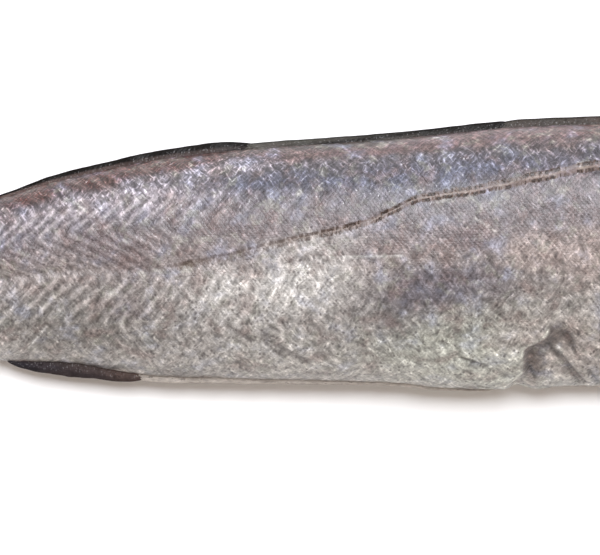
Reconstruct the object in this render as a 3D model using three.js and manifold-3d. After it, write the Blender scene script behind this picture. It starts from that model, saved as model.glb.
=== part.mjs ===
// A headed and gutted cod, lying on its left side with the right flank up.
//
// Millimetres. +X runs from the tail to the nape, +Y from the belly to the back, +Z up.
// The origin is the centre of the fish's box, on the surface that it lies on.
//
// The trunk is one skin, drawn section by section from the tail base to the nape cut. The fins
// and the backbone's end are joined to it, and the empty belly is cut out of it.
import * as THREE from "three";
import { mergeVertices } from "three/addons/utils/BufferGeometryUtils.js";
import Module from "manifold-3d";

// ---- Driving dimensions ----

const TRUNK_LENGTH = 425; // from the tail base to the nape cut
const VENT_AT = 292; // where the belly cut ends, in front of the tail base
const NAPE_LEAN = 16; // the cut leaves the nape this much longer than the belly

// The trunk at a few places, each `at` millimetres in front of the tail base: the Y of its back
// and its belly, and half its thickness. The tail end hangs a little towards the belly.
const STATIONS = [
  { at: 0, back: -1.0, belly: -32.0, half: 3.2 },
  { at: 10, back: -1.6, belly: -30.6, half: 6.0 },
  { at: 50, back: 4.0, belly: -34.4, half: 10.4 },
  { at: 107, back: 18.6, belly: -40.6, half: 15.8 },
  { at: 130, back: 25.0, belly: -41.2, half: 18.0 },
  { at: 160, back: 31.4, belly: -45.8, half: 21.0 },
  { at: 190, back: 35.2, belly: -47.0, half: 23.4 },
  { at: 250, back: 39.4, belly: -48.6, half: 26.6 },
  { at: 264, back: 40.8, belly: -50.2, half: 27.2 },
  { at: 288, back: 43.2, belly: -50.8, half: 28.0 },
  { at: 293, back: 43.5, belly: -49.3, half: 28.2 },
  { at: 301, back: 43.9, belly: -50.9, half: 28.5 },
  { at: 309, back: 44.2, belly: -49.8, half: 28.7 },
  { at: 330, back: 44.6, belly: -50.0, half: 29.0 },
  { at: 375, back: 44.8, belly: -48.6, half: 28.6 },
  { at: TRUNK_LENGTH, back: 42.0, belly: -44.5, half: 26.8 },
];

const ROLL = 0.1; // the back lies this much higher than the belly, for each millimetre of depth
const FLATTENED = 1.8; // how far the soft lower flank is pressed flat by the fish's weight
const DROOP = { whole: 5, emptied: 12 }; // how far the belly's edge sags
const THINNED = { tail: 0.04, whole: 0.12, emptied: 0.32 }; // how much thinner the belly half is

// The hollows of the upper flank: each at a distance in front of the tail base and a level.
const HOLLOWS = [
  { at: 305, level: -0.74, deep: 1.8, long: 7, tall: 0.13 }, // the pit at the vent
  { at: 352, level: -0.45, deep: 2.6, long: 40, tall: 0.28 }, // the wall over the empty belly
];
// The fold where the whole belly ends: from its edge the cut belly wall drops, and recovers
// towards the nape. The edge starts at the vent and leans towards the nape above it, `by`
// millimetres round each level.
const FOLD = {
  at: 291.5,
  leans: [
    { level: -0.93, tall: 0.1, by: 3.5 },
    { level: -0.64, tall: 0.16, by: 9 },
  ],
  drop: 1.9,
  steep: 2.2,
  recovers: 11,
  fades: { from: -0.72, to: -0.52 }, // the levels between which it runs out
};
const SEPTUM_GROOVE = { level: 0.02, deep: 0.7, tall: 0.1, from: 20, to: 240 };

const VERTEBRA_RADIUS = 6;
const SPINE_LEVEL = 0.1; // the backbone's height in the section, from -1 at the belly to 1
const FACE_BULGE = 2.5; // how far the cut flesh swells out round the backbone

const TAIL_FIN = {
  length: 71,
  halfRoot: 13.5,
  halfEdge: 31,
  notch: 4.5,
  rays: 16,
  overlap: 12, // how far it reaches into the trunk
  thickRoot: 3.0,
  thickEdge: 0.9,
  drop: 3.5, // how far its tip hangs towards the belly
};

// Folded fins along the back (edge 1) and the belly (edge -1). Each runs from its rear tip to
// its front, both in front of the tail base. How far it stands out of the trunk goes from `tall`
// at its tip, which it reaches within `tip`, to `low` at its front, where it runs out in `heel`.
// A higher `power` makes it lower sooner.
const FOLDED_FINS = [
  { edge: 1, rear: 98, front: 206, tall: 2.2, low: 3.9, power: 1, tip: 26, heel: 22 },
  { edge: 1, rear: 182, front: 294, tall: 1.9, low: 2.8, power: 1, tip: 5, heel: 8 },
  { edge: 1, rear: 277, front: 392, tall: 2.8, low: 3.2, power: 1, tip: 16, heel: 20 },
  { edge: -1, rear: 108.5, front: 166, tall: 7, low: 2.6, power: 1, tip: 22, heel: 18 },
  { edge: -1, rear: 150, front: 286, tall: 2.6, low: 0.9, power: 1.5, tip: 6, heel: 5 },
];
const FIN_FOOT = 4; // how deep a folded fin stands in the trunk
const FIN_THICK = { root: 2.4, edge: 0.9 };
const FIN_WAVE = 15; // the length of a fin's ripples
const FIN_STEP = 3.4;

const CAVITY = {
  roof: -0.1, // the level of its roof, just under the backbone
  wallAtRoof: 14,
  flap: 5.5, // the belly wall's thickness
  slit: 1.6, // half the gap between the belly walls' edges
  opens: 75, // the distance in front of the vent by which it is fully open
  pastNape: 14,
};

// ---- How finely the skin is divided ----

const ROW_GAP = { plain: 9, vent: 2.4, reach: 17 };
const UPPER_POINTS = 28;
const LOWER_POINTS = 14;
const FACE_RINGS = 6;
const END_ROWS = 3;
const END_LENGTH = 5;

// ---- Small mathematics ----

const clamp = (value, low, high) => Math.min(high, Math.max(low, value));
const lerp = (a, b, share) => a + (b - a) * share;
const ease = (share) => THREE.MathUtils.smoothstep(share, 0, 1);
const bell = (distance, width) => Math.exp(-((distance / width) ** 2));

// A smooth line through the stations' values of one size.
function line(size) {
  const at = STATIONS.map((station) => station.at);
  const value = STATIONS.map((station) => station[size]);
  const last = at.length - 1;
  const slope = at.map((_, i) => {
    const before = Math.max(0, i - 1);
    const after = Math.min(last, i + 1);
    return (value[after] - value[before]) / (at[after] - at[before]);
  });
  return (s) => {
    const place = clamp(s, 0, TRUNK_LENGTH);
    let i = 0;
    while (i < last - 1 && place > at[i + 1]) i += 1;
    const span = at[i + 1] - at[i];
    const t = (place - at[i]) / span;
    return (
      value[i] * (1 + 2 * t) * (1 - t) ** 2 +
      value[i + 1] * t * t * (3 - 2 * t) +
      slope[i] * span * t * (1 - t) ** 2 +
      slope[i + 1] * span * t * t * (t - 1)
    );
  };
}

const backLine = line("back");
const bellyLine = line("belly");
const halfLine = line("half");

// ---- The trunk's sections ----

// `level` runs from 1 at the back's edge to -1 at the belly's.
const halfThickness = (section, level) =>
  section.half * Math.sqrt(Math.max(0, 1 - level * level)) * (1 + section.skew * level);

const sag = (section, level) =>
  ROLL * section.reach * level - section.droop * Math.max(0, -level) ** 2;

// The section at s: where it is, how thick it is, and how it hangs. Its `height` is the height
// of the fish's middle plane at the section's middle, so that its lowest skin is on the ground.
function sectionAt(s) {
  const grown = ease(s / VENT_AT);
  const emptied = ease((s - VENT_AT + 30) / 90);
  const section = {
    middle: (backLine(s) + bellyLine(s)) / 2,
    reach: (backLine(s) - bellyLine(s)) / 2,
    half: halfLine(s),
    skew: lerp(lerp(THINNED.tail, THINNED.whole, grown), THINNED.emptied, emptied),
    droop: lerp(DROOP.whole * grown, DROOP.emptied, emptied),
    height: 0,
  };
  for (let level = -1; level <= 1; level += 0.05) {
    const below = halfThickness(section, level) - sag(section, level);
    section.height = Math.max(section.height, below);
  }
  section.height -= FLATTENED * clamp(s / 60, 0.1, 1);
  return section;
}

const levelY = (section, level) => section.middle + section.reach * level;
const planeHeight = (section, level) => section.height + sag(section, level);

// The nape cut leans: towards the belly the trunk is shorter.
const leanX = (s, level) =>
  s - (NAPE_LEAN * (1 - level) * ease((s - 330) / (TRUNK_LENGTH - 330))) / 2;

function hollow(s, level) {
  const groove = SEPTUM_GROOVE;
  const fades = ease((s - groove.from) / 60) * (1 - ease((s - groove.to + 80) / 80));
  let deep = groove.deep * bell(level - groove.level, groove.tall) * fades;
  for (const dent of HOLLOWS) {
    deep += dent.deep * bell(s - dent.at, dent.long) * bell(level - dent.level, dent.tall);
  }
  return deep + foldDrop(s, level);
}

function foldDrop(s, level) {
  const { at, leans, drop, steep, recovers, fades } = FOLD;
  let edge = at;
  for (const lean of leans) edge += lean.by * ease((level - lean.level) / lean.tall + 0.5);
  const past = s - edge;
  const shown = 1 - ease((level - fades.from) / (fades.to - fades.from));
  return drop * shown * ease(past / steep) * bell(Math.max(0, past - steep), recovers);
}

// A point of the skin. `turn` runs from the back over the upper flank to the belly and round.
function skinPoint(s, turn) {
  const section = sectionAt(s);
  const level = Math.cos(turn);
  const upper = Math.sin(turn) > 1e-9;
  const out = halfThickness(section, level);
  const height = planeHeight(section, level) + (upper ? out - hollow(s, level) : -out);
  return new THREE.Vector3(leanX(s, level), levelY(section, level), Math.max(0, height));
}

// ---- From a function to a closed mesh ----

// A closed mesh from a sphere's or a box's own vertices, each put where `place` says.
function shaped(geometry, place) {
  const uv = geometry.getAttribute("uv");
  const position = geometry.getAttribute("position");
  const spot = new THREE.Vector3();
  for (let i = 0; i < position.count; i += 1) {
    spot.fromBufferAttribute(position, i);
    const put = place(spot, uv.getX(i), uv.getY(i));
    position.setXYZ(i, put.x, put.y, put.z);
  }
  return merged(geometry);
}

function merged(geometry) {
  geometry.deleteAttribute("normal");
  geometry.deleteAttribute("uv");
  return mergeVertices(geometry, 1e-3);
}

// A skin of rings: place(ring from 0 to rings, point from 0 to around). The first and the last
// ring are one point each.
function skin(around, rings, place) {
  const sphere = new THREE.SphereGeometry(1, around, rings);
  return shaped(sphere, (_, u, v) => {
    const ring = Math.round((1 - v) * rings);
    const pole = ring === 0 || ring === rings;
    return place(ring, pole ? 0 : Math.round(u * around) % around);
  });
}

// A thin plate: place(along from 0 to 1, up from 0 to 1, side -1 or 1).
function plate(alongSteps, upSteps, place) {
  const box = new THREE.BoxGeometry(1, 1, 1, alongSteps, upSteps, 1);
  return shaped(box, (spot) => place(spot.x + 0.5, spot.y + 0.5, spot.z > 0 ? 1 : -1));
}

// ---- Joining and cutting ----

const wasm = await Module();
wasm.setup();

function solid(geometry) {
  const mesh = new wasm.Mesh({
    numProp: 3,
    vertProperties: geometry.attributes.position.array,
    triVerts: new Uint32Array(geometry.index.array),
  });
  return new wasm.Manifold(mesh);
}

function geometryOf(manifold) {
  const mesh = manifold.getMesh();
  const geometry = new THREE.BufferGeometry();
  geometry.setAttribute("position", new THREE.BufferAttribute(mesh.vertProperties, 3));
  geometry.setIndex(new THREE.BufferAttribute(mesh.triVerts, 1));
  return geometry;
}

// ---- The trunk ----

// Where the skin's rings stand, from the nape to the tail base: closer together at the vent.
function rowPlaces() {
  const places = [TRUNK_LENGTH];
  while (places.at(-1) > 0) {
    const s = places.at(-1);
    const gap = lerp(ROW_GAP.plain, ROW_GAP.vent, bell(s - VENT_AT - 6, ROW_GAP.reach));
    places.push(s - gap < 0.6 * gap ? 0 : s - gap);
  }
  return places;
}

// The points round a section: closer together on the upper flank.
const turnOf = (point) =>
  point <= UPPER_POINTS
    ? (Math.PI * point) / UPPER_POINTS
    : Math.PI * (1 + (point - UPPER_POINTS) / LOWER_POINTS);

// The first rings are the cut face, from the backbone out to the skin. The last ones close the
// tail end, inside the root of the tail fin.
function trunk() {
  const places = rowPlaces();
  const centre = spineEnd();
  const tail = sectionAt(0);
  const skinEnd = FACE_RINGS + places.length - 1;
  return skin(UPPER_POINTS + LOWER_POINTS, skinEnd + END_ROWS, (ring, point) => {
    const turn = turnOf(point);
    if (ring < FACE_RINGS) {
      const out = ring / FACE_RINGS;
      const spot = centre.clone().lerp(skinPoint(TRUNK_LENGTH, turn), out);
      spot.x += FACE_BULGE * Math.sin(Math.PI * out ** 1.4);
      return spot;
    }
    if (ring > skinEnd) {
      const close = (ring - skinEnd) / END_ROWS;
      const spot = skinPoint(0, turn);
      const shrink = Math.sqrt(1 - close * close);
      spot.x = -END_LENGTH * close;
      spot.y = lerp(tail.middle, spot.y, shrink);
      spot.z = lerp(tail.height, spot.z, shrink);
      return spot;
    }
    return skinPoint(places[ring - FACE_RINGS], turn);
  });
}

// The middle of the backbone in the cut face.
function spineEnd() {
  const nape = sectionAt(TRUNK_LENGTH);
  return new THREE.Vector3(
    leanX(TRUNK_LENGTH, SPINE_LEVEL),
    levelY(nape, SPINE_LEVEL),
    planeHeight(nape, SPINE_LEVEL),
  );
}

// The backbone's end: a disc with a hollow middle, standing a little out of the cut flesh.
function vertebra() {
  const r = VERTEBRA_RADIUS;
  const profile = [
    [0, -8],
    [r, -8],
    [r, 1.8],
    [0.88 * r, 2.8],
    [0.64 * r, 2.3],
    [0.3 * r, 0.2],
    [0, -0.6],
  ].map(([radius, height]) => new THREE.Vector2(radius, height));
  const disc = new THREE.LatheGeometry(profile, 18);
  disc.rotateZ(-Math.PI / 2);
  const end = spineEnd();
  disc.translate(end.x, end.y, end.z);
  return withoutSlivers(merged(disc));
}

// A lathe's ends on the axis leave triangles with two corners in one place: they go.
function withoutSlivers(geometry) {
  const corners = Array.from(geometry.index.array);
  const kept = [];
  for (let i = 0; i < corners.length; i += 3) {
    const [a, b, c] = corners.slice(i, i + 3);
    if (a !== b && b !== c && a !== c) kept.push(a, b, c);
  }
  geometry.setIndex(kept);
  return geometry;
}

// ---- The empty belly ----

const CAVITY_POINTS = 28;
const CAVITY_ROWS = 18;

// A hollow under the backbone, with the belly walls' thickness left round it. It narrows to a
// slit along the belly's edge, and closes at the vent.
function cavity() {
  const length = TRUNK_LENGTH + CAVITY.pastNape - VENT_AT;
  return skin(CAVITY_POINTS, CAVITY_ROWS, (ring, point) => {
    const along = 1 - ring / CAVITY_ROWS;
    const s = VENT_AT + length * along;
    const inside = Math.min(s, TRUNK_LENGTH);
    const section = sectionAt(inside);
    const opened = ease((s - VENT_AT) / CAVITY.opens);
    const turn = (2 * Math.PI * point) / CAVITY_POINTS;
    const down = (1 - Math.cos(turn)) / 2;
    const level = lerp(lerp(-0.94, CAVITY.roof, opened), -1.16, down);
    const wall = lerp(CAVITY.wallAtRoof, CAVITY.flap, ease(down / 0.45));
    const above = Math.sin(turn) > 0;
    const skinLeft = halfThickness(section, level) - (above ? hollow(inside, level) : 0);
    const rounded = Math.sqrt(1 - (1 - clamp(down / 0.2, 0, 1)) ** 2);
    const wide = lerp(CAVITY.slit, Math.max(CAVITY.slit, skinLeft - wall), opened) * rounded;
    const pointed = Math.sqrt(clamp(Math.min(along, 1 - along) * 14, 0, 1));
    const side = Math.abs(Math.sin(turn)) < 1e-9 ? 0 : Math.sign(Math.sin(turn));
    return new THREE.Vector3(
      leanX(inside, Math.max(-1, level)) + Math.max(0, s - TRUNK_LENGTH),
      levelY(section, level),
      planeHeight(section, Math.max(-1, level)) + side * wide * pointed,
    );
  });
}

// ---- Fins ----

// How far a folded fin stands out of the trunk.
function finHeight(fin, s) {
  const along = (s - fin.rear) / (fin.front - fin.rear);
  const rise = clamp((s - fin.rear) / fin.tip, 0, 1) ** 0.7;
  const fall = Math.sin((Math.PI / 2) * clamp((fin.front - s) / fin.heel, 0, 1));
  return lerp(fin.low, fin.tall, (1 - along) ** fin.power) * rise * fall;
}

function foldedFin(fin) {
  const steps = Math.round((fin.front - fin.rear) / FIN_STEP);
  return plate(steps, 3, (along, up, side) => {
    const s = lerp(fin.rear, fin.front, along);
    const section = sectionAt(s);
    const thick = lerp(FIN_THICK.root, FIN_THICK.edge, up);
    const ripple = 0.4 * up * Math.sin((2 * Math.PI * s) / FIN_WAVE);
    return new THREE.Vector3(
      s,
      levelY(section, fin.edge) + fin.edge * lerp(-FIN_FOOT, finHeight(fin, s), up),
      planeHeight(section, fin.edge) + ripple + (fin.edge * side * thick) / 2,
    );
  });
}

// The tail fin: a fan of rays behind the tail base, a little notched, lying limp on the ground.
function tailFin() {
  const root = sectionAt(TAIL_FIN.overlap);
  const { rays, overlap } = TAIL_FIN;
  return plate(12, 2 * rays, (along, up, side) => {
    const lobe = 2 * up - 1;
    const length = TAIL_FIN.length + overlap - TAIL_FIN.notch * (1 - lobe * lobe);
    const back = (1 - along) * length;
    const out = clamp((back - overlap) / TAIL_FIN.length, 0, 1);
    const spread = lerp(TAIL_FIN.halfRoot, TAIL_FIN.halfEdge, out ** 0.8);
    const thin = lerp(TAIL_FIN.thickRoot, TAIL_FIN.thickEdge, out ** 0.6);
    const ray = 0.3 * Math.cos(2 * Math.PI * rays * up) * Math.sin(Math.PI * out);
    const lie = TAIL_FIN.thickEdge / 2 + 1.1 * out * (1 + Math.sin(2.4 * lobe + 1.2));
    const middle = lerp(root.height - 1, lie, ease(out * 1.4));
    return new THREE.Vector3(
      overlap - back,
      root.middle - TAIL_FIN.drop * out + lobe * spread,
      Math.max(side < 0 ? 0 : 0.5, middle + (side * (thin + ray)) / 2),
    );
  });
}

// ---- The fish ----

let flesh = solid(trunk()).add(solid(tailFin()));
for (const fin of FOLDED_FINS) flesh = flesh.add(solid(foldedFin(fin)));
flesh = flesh.add(solid(vertebra())).subtract(solid(cavity()));

const skinMaterial = new THREE.MeshStandardMaterial({
  color: new THREE.Color(0.56, 0.53, 0.52),
  roughness: 0.38,
  metalness: 0,
});

const cod = new THREE.Mesh(geometryOf(flesh), skinMaterial);
cod.name = "cod";

const box = new THREE.Box3().setFromObject(cod);
const centre = box.getCenter(new THREE.Vector3());
cod.position.set(-centre.x, -centre.y, -box.min.z);

const group = new THREE.Group();
group.add(cod);

export default group;
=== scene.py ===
"""A headed and gutted cod on its left side, dressed and lit for a studio picture.

Shapes are worked out in millimetres in the fish's own frame, `s` millimetres in front of the
tail base, and put into the CAD model's frame, in metres, when a mesh is made.
"""
import logging
import math
from dataclasses import dataclass, replace
from enum import Enum, IntEnum
from typing import Any, Optional, Union

import bpy
import numpy as np
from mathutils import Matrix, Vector


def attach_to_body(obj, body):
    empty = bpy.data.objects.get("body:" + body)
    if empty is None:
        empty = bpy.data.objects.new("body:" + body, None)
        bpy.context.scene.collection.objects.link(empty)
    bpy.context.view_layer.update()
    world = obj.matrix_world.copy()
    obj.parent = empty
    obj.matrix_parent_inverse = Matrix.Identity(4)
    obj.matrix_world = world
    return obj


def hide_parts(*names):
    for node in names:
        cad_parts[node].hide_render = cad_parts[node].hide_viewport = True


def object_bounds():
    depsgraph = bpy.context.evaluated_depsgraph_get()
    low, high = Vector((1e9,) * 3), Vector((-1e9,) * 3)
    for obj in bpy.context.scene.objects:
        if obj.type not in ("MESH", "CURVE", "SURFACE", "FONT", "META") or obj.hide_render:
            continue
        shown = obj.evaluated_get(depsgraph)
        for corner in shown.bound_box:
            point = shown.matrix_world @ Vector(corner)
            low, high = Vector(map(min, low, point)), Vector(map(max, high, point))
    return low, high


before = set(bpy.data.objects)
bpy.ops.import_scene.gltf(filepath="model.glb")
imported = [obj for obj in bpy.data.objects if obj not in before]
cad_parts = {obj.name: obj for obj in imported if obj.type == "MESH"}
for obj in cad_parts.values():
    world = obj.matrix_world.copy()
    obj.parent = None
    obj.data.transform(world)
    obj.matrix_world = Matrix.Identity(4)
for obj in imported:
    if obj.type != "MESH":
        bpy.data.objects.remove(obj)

CAD_LOW, CAD_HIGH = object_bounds()

Span = tuple[float, float]
Tone = tuple[float, float, float]

NODE = "cod"
BODY = "root"
BAKE_MAP = "OFBake"
MM = 0.001
STUDIO_LIGHT = 1.5

log = logging.getLogger("cod")


# ---- Small mathematics ----


def ease(share: Any) -> Any:
    """Returns a smooth step from 0 to 1 while `share` goes from 0 to 1."""
    t = np.clip(share, 0.0, 1.0)
    return t * t * (3.0 - 2.0 * t)


def rise(value: Any, start: float, over: float) -> Any:
    """Returns a smooth step from 0 where `value` is `start` to 1 where it is `over` more."""
    return ease((value - start) / over)


def fall(value: Any, start: float, over: float) -> Any:
    """Returns a smooth step from 1 where `value` is `start` to 0 where it is `over` more."""
    return 1 - rise(value, start, over)


def bell(distance: Any, width: Any) -> Any:
    """Returns a smooth bump: 1 at distance 0, falling off over `width`."""
    return np.exp(-((np.asarray(distance) / width) ** 2))


def lerp(a: Any, b: Any, share: Any) -> Any:
    """Returns the value that lies `share` of the way from `a` to `b`."""
    return a + (b - a) * share


def through(at: Any, value: Any, s: Any) -> np.ndarray:
    """Draws a smooth line through points.

    Args:
        at: The points' places, in rising order.
        value: The points' values.
        s: Where the line is read. Past the ends it stays level.

    Returns:
        The line's values.
    """
    at, value = np.asarray(at, float), np.asarray(value, float)
    before = np.maximum(np.arange(len(at)) - 1, 0)
    after = np.minimum(np.arange(len(at)) + 1, len(at) - 1)
    slope = (value[after] - value[before]) / (at[after] - at[before])
    place = np.clip(s, at[0], at[-1])
    i = np.clip(np.searchsorted(at, place, side="left") - 1, 0, len(at) - 2)
    span = at[i + 1] - at[i]
    t = (place - at[i]) / span
    return (
        value[i] * (1 + 2 * t) * (1 - t) ** 2
        + value[i + 1] * t * t * (3 - 2 * t)
        + slope[i] * span * t * (1 - t) ** 2
        + slope[i + 1] * span * t * t * (t - 1)
    )


def girth_of(points: np.ndarray, middle: int) -> np.ndarray:
    """Measures along the rows of a grid of points.

    Args:
        points: The grid, with X, Y and Z last.
        middle: The column to measure from.

    Returns:
        Each point's distance along its row, which is below 0 before the middle column.
    """
    steps = np.linalg.norm(np.diff(points, axis=1), axis=-1)
    girth = np.concatenate([np.zeros((len(points), 1)), np.cumsum(steps, axis=1)], axis=1)
    return girth - girth[:, [middle]]


def linear(red: float, green: float, blue: float) -> Tone:
    """Turns a screen colour into the light that it stands for.

    Args:
        red: Red, from 0 to 255.
        green: Green, from 0 to 255.
        blue: Blue, from 0 to 255.

    Returns:
        The three shares of light, from 0 to 1.
    """
    shares = (red / 255.0, green / 255.0, blue / 255.0)
    return tuple(c / 12.92 if c <= 0.04045 else ((c + 0.055) / 1.055) ** 2.4 for c in shares)


def lit(red: float, green: float, blue: float) -> Tone:
    """Finds the paint that shows a screen colour in the studio's light.

    Args:
        red: Red, from 0 to 255.
        green: Green, from 0 to 255.
        blue: Blue, from 0 to 255.

    Returns:
        The paint's red, green and blue, from 0 to 1.
    """
    return tuple(share / STUDIO_LIGHT for share in linear(red, green, blue))


class Grain:
    """Smooth random relief over a plane, the same on every run."""

    SIZE = 256

    def __init__(self, seed: int) -> None:
        """Draws the grain's lattice.

        Args:
            seed: Picks the lattice.
        """
        self.lattice = np.random.default_rng(seed).uniform(-1.0, 1.0, (self.SIZE, self.SIZE))

    def at(self, x: np.ndarray, y: np.ndarray) -> np.ndarray:
        """Reads the grain.

        Args:
            x: Places along the first axis, in lattice steps.
            y: Places along the second axis, in lattice steps.

        Returns:
            Values from -1 to 1.
        """
        column, row = np.floor(x).astype(int), np.floor(y).astype(int)
        across, up = ease(x - column), ease(y - row)
        near = lerp(self._corner(column, row), self._corner(column + 1, row), across)
        far = lerp(self._corner(column, row + 1), self._corner(column + 1, row + 1), across)
        return lerp(near, far, up)

    def layered(self, x: np.ndarray, y: np.ndarray, layers: int = 3) -> np.ndarray:
        """Adds finer and weaker layers of the grain to each other.

        Args:
            x: Places along the first axis, in steps of the coarsest layer.
            y: Places along the second axis, in steps of the coarsest layer.
            layers: How many layers there are.

        Returns:
            Values from about -1 to 1.
        """
        total = sum(self.at(x * 2**i + 17 * i, y * 2**i + 31 * i) / 2**i for i in range(layers))
        return total / (2.0 - 0.5 ** (layers - 1))

    def _corner(self, column: np.ndarray, row: np.ndarray) -> np.ndarray:
        """Returns the lattice's own values, which repeat."""
        return self.lattice[column % self.SIZE, row % self.SIZE]


# ---- The fish's form: the same as the solid's ----


@dataclass(frozen=True)
class Station:
    """The trunk's size at one place: the Y of back and belly, and half its thickness."""

    at: float
    back: float
    belly: float
    half: float


@dataclass(frozen=True)
class Hollow:
    """A dent in the upper flank, `deep` at its middle."""

    at: float
    level: float
    deep: float
    long: float
    tall: float


@dataclass
class Section:
    """The trunk's cross-sections at one or many places."""

    middle: np.ndarray
    reach: np.ndarray
    half: np.ndarray
    skew: np.ndarray
    droop: np.ndarray
    height: np.ndarray


@dataclass(frozen=True)
class FishForm:
    """The trunk's sizes, and where its skin and its empty belly are."""

    trunk_length: float = 425.0
    vent_at: float = 292.0
    emptied: Span = (262.0, 90.0)
    nape_lean: float = 16.0
    lean_from: float = 330.0
    roll: float = 0.1
    flattened: float = 1.8
    flattened_over: float = 60.0
    droop_whole: float = 5.0
    droop_emptied: float = 12.0
    thinned_tail: float = 0.04
    thinned_whole: float = 0.12
    thinned_emptied: float = 0.32
    groove_level: float = 0.02
    groove_deep: float = 0.7
    groove_tall: float = 0.1
    groove_grows: Span = (20.0, 60.0)
    groove_fades: Span = (160.0, 80.0)
    fold_at: float = 291.5
    fold_ends: Span = (-0.72, 0.2)
    fold_steps: tuple[tuple[float, float, float], ...] = ((-0.93, 0.1, 3.5), (-0.64, 0.16, 9.0))
    fold_deep: float = 1.9
    fold_steep: float = 2.2
    fold_recovers: float = 11.0
    end_length: float = 5.0
    spine_level: float = 0.1
    face_bulge: float = 2.5
    roof: float = -0.1
    wall_at_roof: float = 14.0
    flap: float = 5.5
    edge_share: float = 0.1
    slit: float = 1.6
    slit_opens: float = 14.0
    opens: float = 75.0
    closed_roof: float = -0.94
    flap_from: float = 0.45
    roof_round: float = 0.2
    past_nape: float = 14.0
    tail_fin_length: float = 71.0
    stations: tuple[Station, ...] = (
        Station(0, -1.0, -32.0, 3.2),
        Station(10, -1.6, -30.6, 6.0),
        Station(50, 4.0, -34.4, 10.4),
        Station(107, 18.6, -40.6, 15.8),
        Station(130, 25.0, -41.2, 18.0),
        Station(160, 31.4, -45.8, 21.0),
        Station(190, 35.2, -47.0, 23.4),
        Station(250, 39.4, -48.6, 26.6),
        Station(264, 40.8, -50.2, 27.2),
        Station(288, 43.2, -50.8, 28.0),
        Station(293, 43.5, -49.3, 28.2),
        Station(301, 43.9, -50.9, 28.5),
        Station(309, 44.2, -49.8, 28.7),
        Station(330, 44.6, -50.0, 29.0),
        Station(375, 44.8, -48.6, 28.6),
        Station(425, 42.0, -44.5, 26.8),
    )
    hollows: tuple[Hollow, ...] = (
        Hollow(305, -0.74, 1.8, 7, 0.13),
        Hollow(352, -0.45, 2.6, 40, 0.28),
    )

    def line(self, size: str, s: Any) -> np.ndarray:
        """Draws a smooth line through the stations' values of one size.

        Args:
            size: The size's name in Station.
            s: Places in front of the tail base.

        Returns:
            The size at each place.
        """
        places = [station.at for station in self.stations]
        return through(places, [getattr(station, size) for station in self.stations], s)

    def section(self, s: Any) -> Section:
        """Works out the cross-sections.

        Args:
            s: Places in front of the tail base.

        Returns:
            The sections, with values in the shape of `s`.
        """
        s = np.asarray(s, float)
        grown = ease(s / self.vent_at)
        emptied = rise(s, *self.emptied)
        back, belly = self.line("back", s), self.line("belly", s)
        section = Section(
            middle=(back + belly) / 2,
            reach=(back - belly) / 2,
            half=self.line("half", s),
            skew=lerp(
                lerp(self.thinned_tail, self.thinned_whole, grown), self.thinned_emptied, emptied
            ),
            droop=lerp(self.droop_whole * grown, self.droop_emptied, emptied),
            height=np.zeros_like(s),
        )
        levels = np.arange(-1, 1.001, 0.05)
        lowest = [self.out(section, level) - self._sag(section, level) for level in levels]
        pressed = self.flattened * np.clip(s / self.flattened_over, 0.1, 1)
        section.height = np.maximum.reduce(lowest) - pressed
        return section

    def out(self, section: Section, level: Any) -> np.ndarray:
        """Returns half the trunk's thickness at a level, from 1 at the back to -1 at the belly."""
        return section.half * np.sqrt(np.maximum(0, 1 - level * level)) * (1 + section.skew * level)

    def _sag(self, section: Section, level: Any) -> np.ndarray:
        """Returns how much higher than the section's middle the middle plane is at a level."""
        return self.roll * section.reach * level - section.droop * np.maximum(0, -level) ** 2

    def plane(self, section: Section, level: Any) -> np.ndarray:
        """Returns the height of the fish's middle plane at a level."""
        return section.height + self._sag(section, level)

    def lean(self, s: Any, level: Any) -> np.ndarray:
        """Returns the X of a place: near the nape the cut makes the belly shorter."""
        share = rise(s, self.lean_from, self.trunk_length - self.lean_from)
        return s - self.nape_lean * (1 - level) * share / 2

    def hollow(self, s: Any, level: Any) -> np.ndarray:
        """Works out how deep the upper flank is sunken.

        Args:
            s: Places in front of the tail base.
            level: How high they are, from 1 at the back to -1 at the belly.

        Returns:
            The depths in millimetres.
        """
        shown = rise(s, *self.groove_grows) * fall(s, *self.groove_fades)
        deep = self.groove_deep * bell(level - self.groove_level, self.groove_tall) * shown
        for dent in self.hollows:
            deep = deep + dent.deep * bell(s - dent.at, dent.long) * bell(level - dent.level, dent.tall)
        return deep + self.fold_drop(s, level)

    def fold_edge(self, level: Any) -> np.ndarray:
        """Returns where the whole belly ends at a level: the edge of the fold at the vent."""
        steps = [far * ease((level - at) / tall + 0.5) for at, tall, far in self.fold_steps]
        return self.fold_at + sum(steps)

    def fold_drop(self, s: Any, level: Any) -> np.ndarray:
        """Works out how much lower the cut belly wall lies in front of the fold.

        Args:
            s: Places in front of the tail base.
            level: How high they are, from 1 at the back to -1 at the belly.

        Returns:
            The drop in millimetres.
        """
        past = s - self.fold_edge(level)
        drop = self.fold_deep * ease(past / self.fold_steep)
        recovers = bell(np.maximum(0, past - self.fold_steep), self.fold_recovers)
        return self.fold_shown(level) * drop * recovers

    def fold_shown(self, level: Any) -> np.ndarray:
        """Returns 1 at the levels where the fold at the vent is, and 0 above them."""
        return fall(level, *self.fold_ends)

    def slit_at(self, s: Any) -> np.ndarray:
        """Returns half the gap between the belly walls' edges."""
        along = (s - self.vent_at) / (self.trunk_length + self.past_nape - self.vent_at)
        return self.slit * np.sqrt(np.clip(along * self.slit_opens, 0, 1))

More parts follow.
